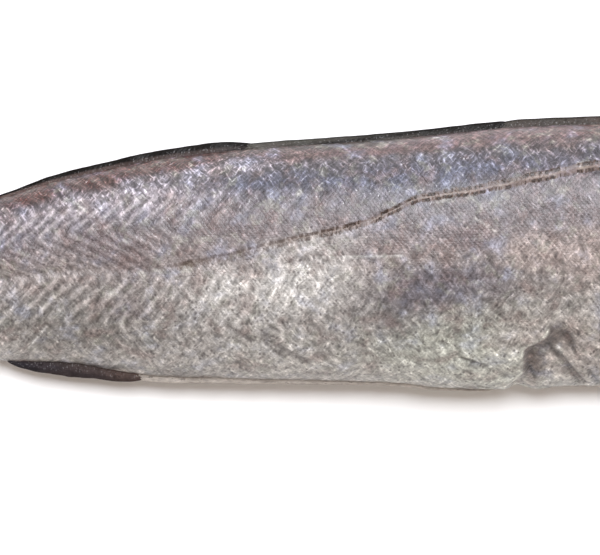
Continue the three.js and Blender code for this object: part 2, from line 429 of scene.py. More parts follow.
    def skin(self, s: Any, turn: Any, upper: bool) -> np.ndarray:
        """Finds points of the skin.

        Args:
            s: Places in front of the tail base; below 0 is the rounded end.
            turn: The angle from the back, from 0 to pi at the belly.
            upper: True on the right flank, which is the upper one.

        Returns:
            Points in millimetres, with X, Y and Z last.
        """
        s, turn = np.broadcast_arrays(np.asarray(s, float), np.asarray(turn, float))
        inside = np.maximum(s, 0.0)
        section = self.section(inside[:, :1])
        level = np.cos(turn)
        out = self.out(section, level)
        if upper:
            out = out - self.hollow(inside, level)
        near_edge = rise(-level, 1 - self.edge_share, self.edge_share)
        out = np.maximum(out, self.slit_at(inside) * near_edge)
        height = self.plane(section, level) + (out if upper else -out)
        closed = np.sqrt(np.clip(1 - (np.minimum(s, 0.0) / self.end_length) ** 2, 0, 1))
        y = section.middle + section.reach * level * closed
        z = section.height + (height - section.height) * closed
        return np.stack([np.where(s < 0, s, self.lean(s, level)), y, np.maximum(z, 0.0)], axis=-1)

    def inner(self, s: Any, turn: Any) -> np.ndarray:
        """Finds points of the empty belly's wall.

        Args:
            s: Places in front of the tail base.
            turn: The angle round the hollow: 0 at its roof, pi at the upper wall's edge and -pi
                at the lower wall's.

        Returns:
            Points in millimetres, with X, Y and Z last.
        """
        s, turn = np.broadcast_arrays(np.asarray(s, float), np.asarray(turn, float))
        section = self.section(s[:, :1])
        opened = rise(s, self.vent_at, self.opens)
        down = (1 - np.cos(turn)) / 2
        level = lerp(lerp(self.closed_roof, self.roof, opened), -1.0, down)
        wall = lerp(self.wall_at_roof, self.flap, ease(down / self.flap_from))
        left = self.out(section, level) - np.where(turn > 0, self.hollow(s, level), 0.0)
        rounded = np.sqrt(1 - (1 - np.clip(down / self.roof_round, 0, 1)) ** 2)
        slit = self.slit_at(s)
        wide = lerp(slit, np.maximum(slit, left - wall), opened) * rounded
        z = self.plane(section, level) + np.sign(turn) * wide
        y = section.middle + section.reach * level
        return np.stack([self.lean(s, level), y, z], axis=-1)

    def spine_end(self) -> tuple[float, float, float]:
        """Finds the middle of the backbone in the nape cut.

        Returns:
            The middle's X, Y and Z in millimetres.
        """
        nape = self.section(np.array([self.trunk_length]))
        x = self.lean(self.trunk_length, self.spine_level)
        y = nape.middle + nape.reach * self.spine_level
        return float(x), float(y[0]), float(self.plane(nape, self.spine_level)[0])

    def face_x(self, y: np.ndarray, z: np.ndarray) -> np.ndarray:
        """Finds how far forward the nape cut stands.

        Args:
            y: The Y of places on the cut.
            z: Their heights.

        Returns:
            The cut's X at each place.
        """
        _, spine_y, spine_z = self.spine_end()
        turn = np.linspace(0, np.pi, 90)[None, :]
        at = np.full((1, 1), self.trunk_length)
        rim = np.concatenate([self.skin(at, turn, True)[0], self.skin(at, turn, False)[0]])
        around = np.arctan2(rim[:, 2] - spine_z, rim[:, 1] - spine_y)
        reach = np.hypot(rim[:, 2] - spine_z, rim[:, 1] - spine_y)
        whole = np.interp(np.arctan2(z - spine_z, y - spine_y), around, reach, period=2 * np.pi)
        out = np.clip(np.hypot(z - spine_z, y - spine_y) / whole, 0, 1)
        nape = self.section(np.array([self.trunk_length]))
        level = (y - nape.middle) / nape.reach
        return self.lean(self.trunk_length, level) + self.face_bulge * np.sin(np.pi * out**1.4)

    def to_frame(self, points: np.ndarray) -> np.ndarray:
        """Moves points from the fish's own millimetres into the CAD frame's metres.

        Args:
            points: Points with X, Y and Z last.

        Returns:
            The moved points.
        """
        lowest = min(fin.lowest() for fin in FOLDED_FINS)
        shift = np.array([CAD_LOW.x / MM + self.tail_fin_length, CAD_LOW.y / MM - lowest, 0.0])
        return (points + shift) * MM


FORM = FishForm()


# ---- Meshes from grids ----


def normals_of(points: np.ndarray) -> np.ndarray:
    """Works out the directions that a grid of points faces.

    Args:
        points: A grid of points, with X, Y and Z last.

    Returns:
        Unit directions, in the grid's shape.
    """
    along = np.gradient(points, axis=0)
    across = np.gradient(points, axis=1)
    normal = np.cross(along, across)
    return normal / np.maximum(np.linalg.norm(normal, axis=-1, keepdims=True), 1e-9)


@dataclass
class GridPiece:
    """A piece of the fish made from one grid of points."""

    name: str
    points: np.ndarray
    marks: dict[str, np.ndarray]
    around: bool = False
    flip: bool = False
    normals: Optional[np.ndarray] = None

    def lengths(self, names: tuple[str, ...]) -> list[bpy.types.Object]:
        """Makes the grid in equal lengths, each a piece of its own, with no crease between them.

        Args:
            names: The lengths' names, from the first row on.

        Returns:
            The objects, with no material yet.
        """
        normals = normals_of(self.points) * (-1 if self.flip else 1)
        cuts = np.linspace(0, len(self.points) - 1, len(names) + 1).astype(int)
        made = []
        for name, first, last in zip(names, cuts[:-1], cuts[1:]):
            rows = slice(first, last + 1)
            marks = {mark: values[rows] for mark, values in self.marks.items()}
            part = GridPiece(name, self.points[rows], marks, self.around, self.flip, normals[rows])
            made.append(part.build())
        return made

    def build(self) -> bpy.types.Object:
        """Makes the mesh, with its marks and a flat map of the grid.

        Returns:
            The object, with no material yet.
        """
        rows, columns = self.points.shape[:2]
        corners = self._corners(rows, columns)
        mesh = bpy.data.meshes.new(self.name)
        mesh.vertices.add(rows * columns)
        mesh.vertices.foreach_set("co", FORM.to_frame(self.points).astype(np.float32).ravel())
        mesh.loops.add(corners.size)
        mesh.loops.foreach_set("vertex_index", corners.ravel())
        mesh.polygons.add(len(corners))
        mesh.polygons.foreach_set("loop_start", np.arange(0, corners.size, 4))
        mesh.polygons.foreach_set("use_smooth", np.ones(len(corners), bool))
        mesh.update(calc_edges=True)
        self._map(mesh, rows, columns)
        for name, values in self.marks.items():
            self._mark(mesh, name, values)
        mesh.validate()
        if self.normals is not None:
            mesh.normals_split_custom_set_from_vertices(self.normals.reshape(-1, 3))
        piece = bpy.data.objects.new(self.name, mesh)
        bpy.context.scene.collection.objects.link(piece)
        return piece

    def _corners(self, rows: int, columns: int) -> np.ndarray:
        """Numbers the corners of each face.

        Args:
            rows: The grid's rows.
            columns: The grid's columns.

        Returns:
            Four vertex numbers for each face.
        """
        i = np.arange(rows - 1)[:, None]
        j = np.arange(columns if self.around else columns - 1)[None, :]
        after = (j + 1) % columns
        ring = [i * columns + j, (i + 1) * columns + j, (i + 1) * columns + after, i * columns + after]
        faces = np.stack(np.broadcast_arrays(*ring), axis=-1).reshape(-1, 4)
        return faces[:, ::-1] if self.flip else faces

    def _map(self, mesh: bpy.types.Mesh, rows: int, columns: int) -> None:
        """Lays the grid out flat as the mesh's map.

        Args:
            mesh: The mesh.
            rows: The grid's rows.
            columns: The grid's columns.
        """
        steps = columns if self.around else columns - 1
        i = np.arange(rows - 1)[:, None]
        j = np.arange(steps)[None, :]
        ring = [(i, j), (i + 1, j), (i + 1, j + 1), (i, j + 1)]
        pairs = [np.stack(np.broadcast_arrays(a / (rows - 1), b / steps), axis=-1) for a, b in ring]
        flat = np.stack(pairs, axis=2).reshape(-1, 4, 2)
        layer = mesh.uv_layers.new(name=BAKE_MAP)
        layer.data.foreach_set("uv", (flat[:, ::-1] if self.flip else flat).astype(np.float32).ravel())

    @staticmethod
    def _mark(mesh: bpy.types.Mesh, name: str, values: np.ndarray) -> None:
        """Stores a mark on the mesh.

        Args:
            mesh: The mesh.
            name: The mark's name.
            values: A number, three numbers or a colour for each vertex.
        """
        if values.ndim == 2:
            kind, field = "FLOAT", "value"
        elif values.shape[-1] == 3:
            kind, field = "FLOAT_VECTOR", "vector"
        else:
            kind, field = "FLOAT_COLOR", "color"
        layer = mesh.attributes.new(name, kind, "POINT")
        layer.data.foreach_set(field, values.astype(np.float32).ravel())


# ---- Shader arithmetic ----

Number = Union[float, "Signal"]


class Signal:
    """One value inside a material. Sums and products of signals add Math nodes."""

    def __init__(self, shader: "Shader", socket: bpy.types.NodeSocket) -> None:
        """Wraps an output socket of the shader's tree."""
        self.shader = shader
        self.socket = socket

    def __add__(self, other: Number) -> "Signal":
        """Returns the sum."""
        return self.shader.math("ADD", self, other)

    def __sub__(self, other: Number) -> "Signal":
        """Returns the difference."""
        return self.shader.math("SUBTRACT", self, other)

    def __rsub__(self, other: Number) -> "Signal":
        """Returns what is left of a number without this."""
        return self.shader.math("SUBTRACT", other, self)

    def __mul__(self, other: Number) -> "Signal":
        """Returns the product."""
        return self.shader.math("MULTIPLY", self, other)

    def __rpow__(self, other: Number) -> "Signal":
        """Returns a number raised to the power of this."""
        return self.shader.math("POWER", other, self)

    __radd__ = __add__
    __rmul__ = __mul__


class Shader:
    """A material's node tree, built by expressions."""

    def __init__(self, name: str) -> None:
        """Starts a material with one Principled surface.

        Args:
            name: The material's name.
        """
        self.material = bpy.data.materials.new(name)
        self.material.use_nodes = True
        self.tree = self.material.node_tree
        self.surface = self.tree.nodes["Principled BSDF"]

    def node(
        self,
        kind: str,
        settings: Optional[dict[str, Any]] = None,
        values: Optional[dict[Any, Any]] = None,
        output: Any = 0,
    ) -> Signal:
        """Adds a node.

        Args:
            kind: The node's type.
            settings: The node's own settings.
            values: A number, colour or signal for each input that isn't left as it is.
            output: The wanted output's number, name or identifier.

        Returns:
            The wanted output.
        """
        made = self.tree.nodes.new(kind)
        for name, value in (settings or {}).items():
            setattr(made, name, value)
        for key, value in (values or {}).items():
            self.feed(self._socket(made.inputs, key), value)
        return Signal(self, self._socket(made.outputs, output))

    def feed(self, socket: bpy.types.NodeSocket, value: Any) -> None:
        """Links a signal to an input, or sets the input's own value.

        Args:
            socket: The input.
            value: A signal, a number or a colour.
        """
        if isinstance(value, Signal):
            self.tree.links.new(value.socket, socket)
        elif isinstance(value, tuple) and len(value) == 3 and socket.type == "RGBA":
            socket.default_value = (*value, 1.0)
        else:
            socket.default_value = value

    def math(self, operation: str, a: Number, b: Number = 0.0) -> Signal:
        """Returns the result of a Math node."""
        return self.node("ShaderNodeMath", {"operation": operation}, {0: a, 1: b})

    def between(self, value: Number, low: Number, high: Number) -> Signal:
        """Adds a smooth step.

        Args:
            value: The value.
            low: Where the step starts.
            high: Where it ends, which may be below `low`.

        Returns:
            A signal that is 0 at `low` and 1 at `high`.
        """
        return self.node(
            "ShaderNodeMapRange",
            {"interpolation_type": "SMOOTHSTEP"},
            {"Value": value, "From Min": low, "From Max": high},
        )

    def below(self, value: Number, low: Number, high: Number) -> Signal:
        """Returns a smooth step from 1 where `value` is `low` to 0 where it is `high`."""
        return 1.0 - self.between(value, low, high)

    def mix(self, share: Number, a: Any, b: Any) -> Signal:
        """Mixes two colours.

        Args:
            share: How much of the second colour shows.
            a: The first colour: a signal or three numbers.
            b: The second colour.

        Returns:
            The mixed colour.
        """
        return self.node(
            "ShaderNodeMix",
            {"data_type": "RGBA", "clamp_factor": True},
            {"Factor_Float": share, "A_Color": a, "B_Color": b},
            "Result_Color",
        )

    def vector(self, x: Number, y: Number, z: Number = 0.0) -> Signal:
        """Joins three values into one place."""
        return self.node("ShaderNodeCombineXYZ", None, {0: x, 1: y, 2: z})

    def parts(self, place: Signal) -> tuple[Signal, Signal, Signal]:
        """Splits a place into its three values.

        Args:
            place: The place.

        Returns:
            Its X, Y and Z.
        """
        first = self.node("ShaderNodeSeparateXYZ", None, {0: place})
        outputs = first.socket.node.outputs
        return first, Signal(self, outputs[1]), Signal(self, outputs[2])

    def mark(self, name: str, output: str) -> Signal:
        """Reads a mark that the mesh carries: its Vector, Fac or Color."""
        return self.node("ShaderNodeAttribute", {"attribute_name": name}, None, output)

    def noise(
        self, place: Signal, scale: float, detail: float = 2.0, roughness: float = 0.55
    ) -> Signal:
        """Returns cloudy noise from 0 to 1."""
        values = {"Vector": place, "Scale": scale, "Detail": detail, "Roughness": roughness}
        return self.node("ShaderNodeTexNoise", {"noise_dimensions": "3D"}, values, "Fac")

    def cells(self, place: Signal, scale: float) -> Signal:
        """Returns how far each place is from the middle of its cell, in a pattern of small cells."""
        values = {"Vector": place, "Scale": scale}
        return self.node("ShaderNodeTexVoronoi", {"voronoi_dimensions": "2D"}, values, "Distance")

    def chance(self, place: Signal) -> Signal:
        """Returns three random numbers, which change from one whole place to the next."""
        settings = {"noise_dimensions": "2D"}
        return self.node("ShaderNodeTexWhiteNoise", settings, {"Vector": place}, "Color")

    def scaled(self, colour: Signal, light: Signal) -> Signal:
        """Makes a colour lighter or darker."""
        values = {0: colour, "Scale": light}
        return self.node("ShaderNodeVectorMath", {"operation": "SCALE"}, values)

    def bump(self, height: Signal, distance: float, strength: float = 1.0) -> None:
        """Raises the surface.

        Args:
            height: The relief.
            distance: How far a height of 1 stands out, in metres.
            strength: How much of the relief shows.
        """
        normal = self.node(
            "ShaderNodeBump",
            None,
            {"Height": height, "Distance": distance, "Strength": strength},
            "Normal",
        )
        self.feed(self.surface.inputs["Normal"], normal)

    def set(self, **sockets: Any) -> None:
        """Sets or links inputs of the surface, named with _ for a space."""
        for name, value in sockets.items():
            self.feed(self.surface.inputs[name.replace("_", " ")], value)

    @staticmethod
    def _socket(sockets: Any, key: Any) -> bpy.types.NodeSocket:
        """Finds a socket of a node.

        Args:
            sockets: A node's inputs or outputs.
            key: The socket's number, identifier or name.

        Returns:
            The socket.
        """
        if isinstance(key, int):
            return sockets[key]
        for socket in sockets:
            if socket.identifier == key:
                return socket
        return sockets[key]


# ---- What shows on the flanks ----


@dataclass
class FlankGrid:
    """Where a flank's grid points lie, in the ways that its marks need."""

    s: np.ndarray
    turn: np.ndarray
    points: np.ndarray
    depth: np.ndarray
    girth: np.ndarray
    tall: np.ndarray

    @classmethod
    def over(cls, s: np.ndarray, turn: np.ndarray, upper: bool) -> "FlankGrid":
        """Lays a grid over one flank.

        Args:
            s: The rows' places in front of the tail base.
            turn: The columns' angles from the back.
            upper: True for the right flank.

        Returns:
            The grid.
        """
        s, turn = np.broadcast_arrays(s[:, None], turn[None, :])
        points = FORM.skin(s, turn, upper)
        girth = girth_of(points, int(np.argmin(np.abs(turn[0] - np.pi / 2))))
        tall = 2 * FORM.section(np.maximum(s[:, :1], 0.0)).reach
        return cls(s, turn, points, (1 - np.cos(turn)) / 2, girth, tall)


@dataclass(frozen=True)
class MuscleBands:
    """The W-shaped bands of the flank's muscles."""

    pitches: tuple[Span, ...] = (
        (0, 4.4), (60, 5.0), (125, 5.9), (195, 7.2), (240, 8.3), (425, 10.0)
    )
    turns: tuple[float, ...] = (0.17, 0.31, 0.53, 0.77)
    leans: tuple[float, ...] = (1.2, -1.4, 1.8, -1.0, 1.2)
    clearness: tuple[float, ...] = (0.3, 1.0, 0.5, 1.0, 0.35)
    rounded: float = 0.022
    wobble: float = 0.1
    wobble_long: float = 14.0
    wobble_tall: float = 10.0
    flatter: float = 0.45
    flattens: Span = (140.0, 80.0)
    past_ends: float = 80.0
    upper_fade: float = 0.8
    upper_fades: Span = (150.0, 60.0)
    lower_fade: float = 0.4
    lower_fades: Span = (150.0, 30.0)
    belly_fade: float = 0.45
    belly_fades: Span = (225.0, 50.0)
    lower_half: Span = (0.45, 0.12)

    def _by_zone(self, depth: np.ndarray, values: tuple[float, ...]) -> np.ndarray:
        """Spreads the values of the W over the flank.

        Args:
            depth: Depths, from 0 at the back to 1 at the belly.
            values: The value in each zone of the W.

        Returns:
            A value for each depth, which changes smoothly at each turn.
        """
        value = np.full_like(depth, values[0])
        for turn, before, after in zip(self.turns, values, values[1:]):
            value = value + (after - before) * (1 + np.tanh((depth - turn) / self.rounded)) / 2
        return value

    def phase(self, grid: FlankGrid, grain: Grain) -> np.ndarray:
        """Counts bands along the fish.

        Args:
            grid: The flank.
            grain: Makes the bands a little uneven.

        Returns:
            The count, which rises by one from each band to the next.
        """
        depth = np.linspace(0, 1, 400)
        lean = self._by_zone(depth, self.leans)
        shift = np.concatenate([[0.0], np.cumsum((lean[1:] + lean[:-1]) / 2 * np.diff(depth))])
        steep = 1 - self.flatter * rise(grid.s, *self.flattens)
        level = grid.s - np.interp(grid.depth, depth, shift) * grid.tall * steep
        place = np.linspace(-self.past_ends, FORM.trunk_length + self.past_ends, 1200)
        gaps = np.interp(place, [at for at, _ in self.pitches], [gap for _, gap in self.pitches])
        count = np.concatenate([[0.0], np.cumsum(2 * np.diff(place) / (gaps[1:] + gaps[:-1]))])
        wobble = grain.layered(grid.s / self.wobble_long, grid.girth / self.wobble_tall)
        return np.interp(level, place, count) + self.wobble * wobble

    def strength(self, grid: FlankGrid) -> np.ndarray:
        """Works out how clearly the bands show.

        Args:
            grid: The flank.

        Returns:
            Their clearness, from 0 to 1: most towards the tail, least over the belly.
        """
        upper = 1 - self.upper_fade * rise(grid.s, *self.upper_fades)
        lower = 1 - self.lower_fade * rise(grid.s, *self.lower_fades)
        lower = lower - self.belly_fade * rise(grid.s, *self.belly_fades)
        along = lerp(upper, lower, rise(grid.depth, *self.lower_half))
        return self._by_zone(grid.depth, self.clearness) * along

    @staticmethod
    def wave(phase: np.ndarray) -> np.ndarray:
        """Returns 1 along the middle of each band's ridge and 0 between the ridges."""
        return ((1 + np.cos(2 * np.pi * phase)) / 2) ** 1.5


@dataclass(frozen=True)
class LateralLine:
    """The line of pores from the nape to the tail, which drops past the belly's end."""

    course: tuple[Span, ...] = (
        (0, 0.5), (120, 0.5), (166, 0.504), (181, 0.48), (201, 0.432), (219, 0.387), (234, 0.353),
        (246, 0.305), (256, 0.256), (268, 0.242), (287, 0.219), (301, 0.196), (322, 0.157),
        (360, 0.14), (425, 0.15),
    )

    def distance(self, grid: FlankGrid) -> np.ndarray:
        """Returns how many millimetres below the line each point is."""
        places, depths = zip(*self.course)
        return (grid.depth - through(places, depths, grid.s)) * grid.tall


@dataclass(frozen=True)
class Streak:
    """A short straight mark in the skin, in the fish's own millimetres."""

    s: float
    y: float
    to_s: float
    to_y: float
    wide: float

    def mark(self, grid: FlankGrid) -> np.ndarray:
        """Draws the mark.

        Args:
            grid: The flank.

        Returns:
            1 along the mark and 0 away from it.
        """
        x, y = grid.points[..., 0], grid.points[..., 1]
        run, rise = self.to_s - self.s, self.to_y - self.y
        share = np.clip(((x - self.s) * run + (y - self.y) * rise) / (run**2 + rise**2), 0, 1)
        return bell(np.hypot(x - self.s - share * run, y - self.y - share * rise), self.wide)


@dataclass(frozen=True)
class VentFold:
    """The rolled edge where the whole belly ends, and the creased pit in front of it."""

    lip_high: float = 0.6
    lip_wide: float = 2.0
    lip_behind: float = 2.0
    crease_deep: float = 0.7
    lobe_starts: Span = (-13.0, 10.0)
    lobe_stops: Span = (-0.3, 0.8)
    lobe_ends: Span = (-0.82, 0.2)
    edge_highlight_behind: float = 0.8
    edge_highlight_wide: float = 0.7
    edge_highlight_ends: Span = (-0.6, 0.14)
    pit_starts: Span = (-0.2, 0.8)
    pit_stops: Span = (4.0, 8.0)
    pit_ends: Span = (-0.62, 0.16)
    pit_foot: Span = (-0.96, 0.1)
    creases: tuple[Streak, ...] = (
        Streak(304.0, -34.5, 315.8, -48.0, 1.0),
        Streak(307.6, -37.5, 318.0, -48.4, 0.7),
        Streak(310.4, -30.5, 313.6, -37.0, 1.1),
        Streak(319.4, -44.4, 323.0, -48.6, 0.8),
        Streak(297.6, -42.6, 299.6, -46.8, 0.8),
        Streak(322.3, -26.5, 323.0, -33.0, 0.9),
        Streak(272.4, -39.4, 282.0, -42.4, 0.6),
    )
    glint: Streak = Streak(307.4, -35.2, 308.4, -37.2, 0.8)

    @staticmethod
    def _past(grid: FlankGrid) -> np.ndarray:
        """Returns how far towards the nape from the fold's edge each point is."""
        return grid.s - FORM.fold_edge(1 - 2 * grid.depth)

    def height(self, grid: FlankGrid) -> np.ndarray:
        """Works out the edge's and the creases' relief.

        Args:
            grid: The flank.

        Returns:
            The relief in millimetres.
        """
        level = 1 - 2 * grid.depth
        lip = bell(self._past(grid) + self.lip_behind, self.lip_wide) * FORM.fold_shown(level)
        return self.lip_high * lip - self.crease_deep * self.crease(grid)

    def crease(self, grid: FlankGrid) -> np.ndarray:
        """Returns 1 in the creases and 0 away from them."""
        return np.maximum.reduce([crease.mark(grid) for crease in self.creases])

    def colour(self, grid: FlankGrid, colour: np.ndarray) -> np.ndarray:
        """Paints the pale edge with a painted highlight along it, the dark pit with painted shade in
        its creases, and the wet glint in it as a painted highlight.

        Args:
            grid: The flank.
            colour: Its colours.

        Returns:
            The colours with the fold.
        """
        level, past = 1 - 2 * grid.depth, self._past(grid)
        lobe = rise(past, *self.lobe_starts) * fall(past, *self.lobe_stops)
        lobe = lobe * fall(level, *self.lobe_ends)
        rim = bell(past + self.edge_highlight_behind, self.edge_highlight_wide) * fall(level, *self.edge_highlight_ends)
        pit = rise(past, *self.pit_starts) * fall(past, *self.pit_stops)
        pit = pit * fall(level, *self.pit_ends) * rise(level, *self.pit_foot)
        colour = tinted(colour, Pigment.LOBE, 0.75 * lobe)
        colour = tinted(colour, Pigment.VENT, 0.9 * pit)
        # Painted highlight: a bright thin line along the fold's rolled edge, in the lobe's pale tone.
        colour = tinted(colour, Pigment.LOBE, 0.8 * rim)
        # Painted shade: the creases in the pit are darkened.
        colour = tinted(colour, Pigment.CREASE_SHADE, 0.75 * self.crease(grid))
        # Painted highlight: the wet glint in the pit, in the same pale tone as the scratches.
        return tinted(colour, Pigment.SCRATCH_AND_GLINT, self.glint.mark(grid))


class Pigment(Enum):
    """The colours of the fish's skin, as seen in soft daylight, with a painted shade for creases and a
    pale tone that paints both scratches and a highlight.
    """

    BACK = lit(64, 54, 50)
    BROWN = lit(82, 68, 66)
    RUST = lit(84, 50, 46)
    ROSY = lit(113, 92, 94)
    TAN = lit(94, 78, 77)
    ASH = lit(106, 101, 107)
    DUSK = lit(90, 91, 107)
    LILAC = lit(158, 150, 157)
    MAUVE = lit(113, 107, 112)
    PLUM = lit(118, 105, 107)
    PINK_GREY = lit(142, 132, 133)
    ROSE = lit(153, 144, 142)
    SHELL = lit(162, 158, 155)
    PEACH = lit(182, 168, 163)
    BLUSH = lit(204, 195, 189)
    SLATE = lit(115, 110, 117)
    PALE = lit(212, 209, 205)
    GREY = lit(141, 137, 133)
    BELLY = lit(190, 186, 182)
    CREAM = lit(208, 206, 200)
    GREENISH = lit(184, 187, 176)
    VENT = lit(100, 89, 84)
    LOBE = lit(216, 218, 208)
    CREASE_SHADE = lit(52, 45, 42)
    SCRATCH_AND_GLINT = lit(232, 230, 226)


@dataclass(frozen=True)
class Patch:
    """A soft-edged patch of one pigment, in the fish's own millimetres."""

    pigment: Pigment
    s: float
    y: float
    long: float
    tall: float
    lean: float = 0.0
    share: float = 0.8


@dataclass(frozen=True)
class FlankPaint:
    """The flank's broad colours: bands from the back to the belly, and patches over them, two of them
    painted shade in the back's dark tone.
    """

    ragged_long: float = 11.0
    ragged_tall: float = 8.0
    ragged_bands: float = 0.03
    ragged_patches: float = 0.35
    patch_edge: Span = (0.35, 1.1)
    bands: tuple[tuple[float, Pigment], ...] = (
        (0.0, Pigment.BACK),
        (0.015, Pigment.BROWN),
        (0.045, Pigment.TAN),
        (0.085, Pigment.ASH),
        (0.16, Pigment.DUSK),
        (0.27, Pigment.MAUVE),
        (0.40, Pigment.PINK_GREY),
        (0.52, Pigment.ROSE),
        (0.70, Pigment.SHELL),
        (0.90, Pigment.BELLY),
        (1.0, Pigment.BELLY),
    )
    patches: tuple[Patch, ...] = (
        Patch(Pigment.LILAC, 135, 14, 42, 7.5, 13, 0.95),
        Patch(Pigment.LILAC, 166, 17, 22, 6, 6, 0.8),
        Patch(Pigment.LILAC, 190, 29, 15, 3, 4, 0.7),
        Patch(Pigment.ROSY, 255, 38, 66, 3.4, 4, 0.9),
        Patch(Pigment.ROSY, 306, 42.0, 26, 3.2, 2, 0.8),
        # Painted shadow: a dark streak along the back, where a fold of the middle fin shades the skin.
        Patch(Pigment.BACK, 232, 37.4, 24, 1.6, 5, 0.95),
        Patch(Pigment.BACK, 150, 28.5, 24, 1.6, 19, 0.8),
        Patch(Pigment.RUST, 120, 19.5, 15, 4.6, 17, 0.95),
        Patch(Pigment.RUST, 147, 26, 17, 4.0, 18, 0.95),
        Patch(Pigment.RUST, 171, 31, 18, 3.2, 9, 0.9),
        Patch(Pigment.RUST, 318, 43, 12, 2.4, 0, 0.7),
        Patch(Pigment.PLUM, 309, 22, 22, 9, 6, 0.65),
        Patch(Pigment.PLUM, 150, 0, 16, 8, -20, 0.75),
        Patch(Pigment.PLUM, 152, -23, 11, 5, 0, 0.6),
        Patch(Pigment.PLUM, 205, 14, 30, 7, 3, 0.3),
        Patch(Pigment.PALE, 216, 0.5, 18, 4.5, 8, 0.5),
        Patch(Pigment.PLUM, 114, 2, 7, 7, 0, 0.5),
        Patch(Pigment.PLUM, 189, 9, 9, 5, 0, 0.6),
        Patch(Pigment.PALE, 203, -16, 30, 10, 5, 0.95),
        Patch(Pigment.PALE, 222, -7, 12, 5, 10, 0.6),
        Patch(Pigment.SLATE, 262, -14, 22, 9.5, 14, 0.95),
        Patch(Pigment.SLATE, 249, -29, 8, 4, -20, 0.6),
        Patch(Pigment.PALE, 206, -24, 14, 4.5, 0, 0.4),
        Patch(Pigment.PLUM, 276, 3, 9, 5, -10, 0.8),
        Patch(Pigment.SLATE, 284, -12, 10, 6, -30, 0.5),
        Patch(Pigment.PEACH, 299, -1, 13, 6.5, 0, 0.85),
        Patch(Pigment.PEACH, 319, -4, 13, 13, 0, 0.75),
        Patch(Pigment.GREY, 132, -29, 32, 9, -3, 0.9),
        Patch(Pigment.GREENISH, 270, -35, 34, 12, 4, 0.75),
        Patch(Pigment.LOBE, 285, -42.5, 34, 10, 0, 0.95),
        Patch(Pigment.CREAM, 312, -45, 16, 7, 0, 0.8),
        Patch(Pigment.CREAM, 225, -43.5, 40, 4, -3, 0.5),
        Patch(Pigment.CREAM, 206, -34, 22, 5, 0, 0.4),
        Patch(Pigment.BLUSH, 309, -35, 26, 12, 0, 0.85),
        # Painted shade: a dark line along the root of the rear belly fin.
        Patch(Pigment.BACK, 130, -41.8, 24, 0.9, -3, 0.8),
        Patch(Pigment.GREY, 171, -46, 10, 4, 0, 0.6),
        Patch(Pigment.VENT, 309, -32.5, 7, 4, -30, 0.5),
        Patch(Pigment.CREAM, 335, -20, 36, 12, 0, 0.3),
        Patch(Pigment.SLATE, 352, -8, 22, 9, 12, 0.5),
        Patch(Pigment.SLATE, 372, -30, 18, 7, -15, 0.5),
        Patch(Pigment.PALE, 392, -10, 24, 12, 8, 0.35),
        Patch(Pigment.LILAC, 60, 10, 40, 6, 6, 0.5),
        Patch(Pigment.PLUM, 60, -6, 34, 5, 12, 0.4),
        Patch(Pigment.SLATE, 30, -22, 30, 6, 6, 0.45),
    )

    def colour(self, grid: FlankGrid, grain: Grain) -> np.ndarray:
        """Paints the flank.

        Args:
            grid: The flank.
            grain: Makes the bands' and the patches' edges ragged.

        Returns:
            Red, green and blue for each point.
        """
        ragged = grain.layered(grid.s / self.ragged_long, grid.girth / self.ragged_tall, 4)
        depth = np.clip(grid.depth + self.ragged_bands * ragged * ease(grid.depth / 0.1), 0, 1)
        places = [place for place, _ in self.bands]
        tones = np.array([pigment.value for _, pigment in self.bands])
        colour = np.stack([np.interp(depth, places, tones[:, i]) for i in range(3)], axis=-1)
        x, y = grid.points[..., 0], grid.points[..., 1]
        for patch in self.patches:
            turn = math.radians(patch.lean)
            along = (x - patch.s) * math.cos(turn) + (y - patch.y) * math.sin(turn)
            across = (y - patch.y) * math.cos(turn) - (x - patch.s) * math.sin(turn)
            far = np.sqrt((along / patch.long) ** 2 + (across / patch.tall) ** 2)
            share = patch.share * fall(far * (1 + self.ragged_patches * ragged), *self.patch_edge)
            colour = lerp(colour, np.array(patch.pigment.value), share[..., None])
        return colour


class Flank(Enum):
    """The fish's two sides, and whether each is the upper one."""

    RIGHT = True
    LEFT = False


@dataclass(frozen=True)
class Scales:
    """The small scales, in two sets of slanting rows that are a little uneven."""

    pitch: float = 1.6
    steep: float = 0.8
    uneven: float = 0.55
    uneven_long: float = 5.0
    uneven_tall: float = 4.0
    other_grain: float = 90.0

    def rows(self, grid: FlankGrid, grain: Grain) -> tuple[np.ndarray, np.ndarray]:
        """Counts the rows of both sets.

        Args:
            grid: The flank.
            grain: Makes the rows uneven.

        Returns:
            The count of the rows that slant down to the tail, and of those that slant to the nape.
        """
        x, y = grid.s / self.uneven_long, grid.girth / self.uneven_tall
        tailward = self.uneven * grain.layered(x, y, 2)
        napeward = self.uneven * grain.layered(x + self.other_grain, y, 2)
        slant = self.steep * grid.girth
        return (grid.s + slant) / self.pitch + tailward, (grid.s - slant) / self.pitch + napeward


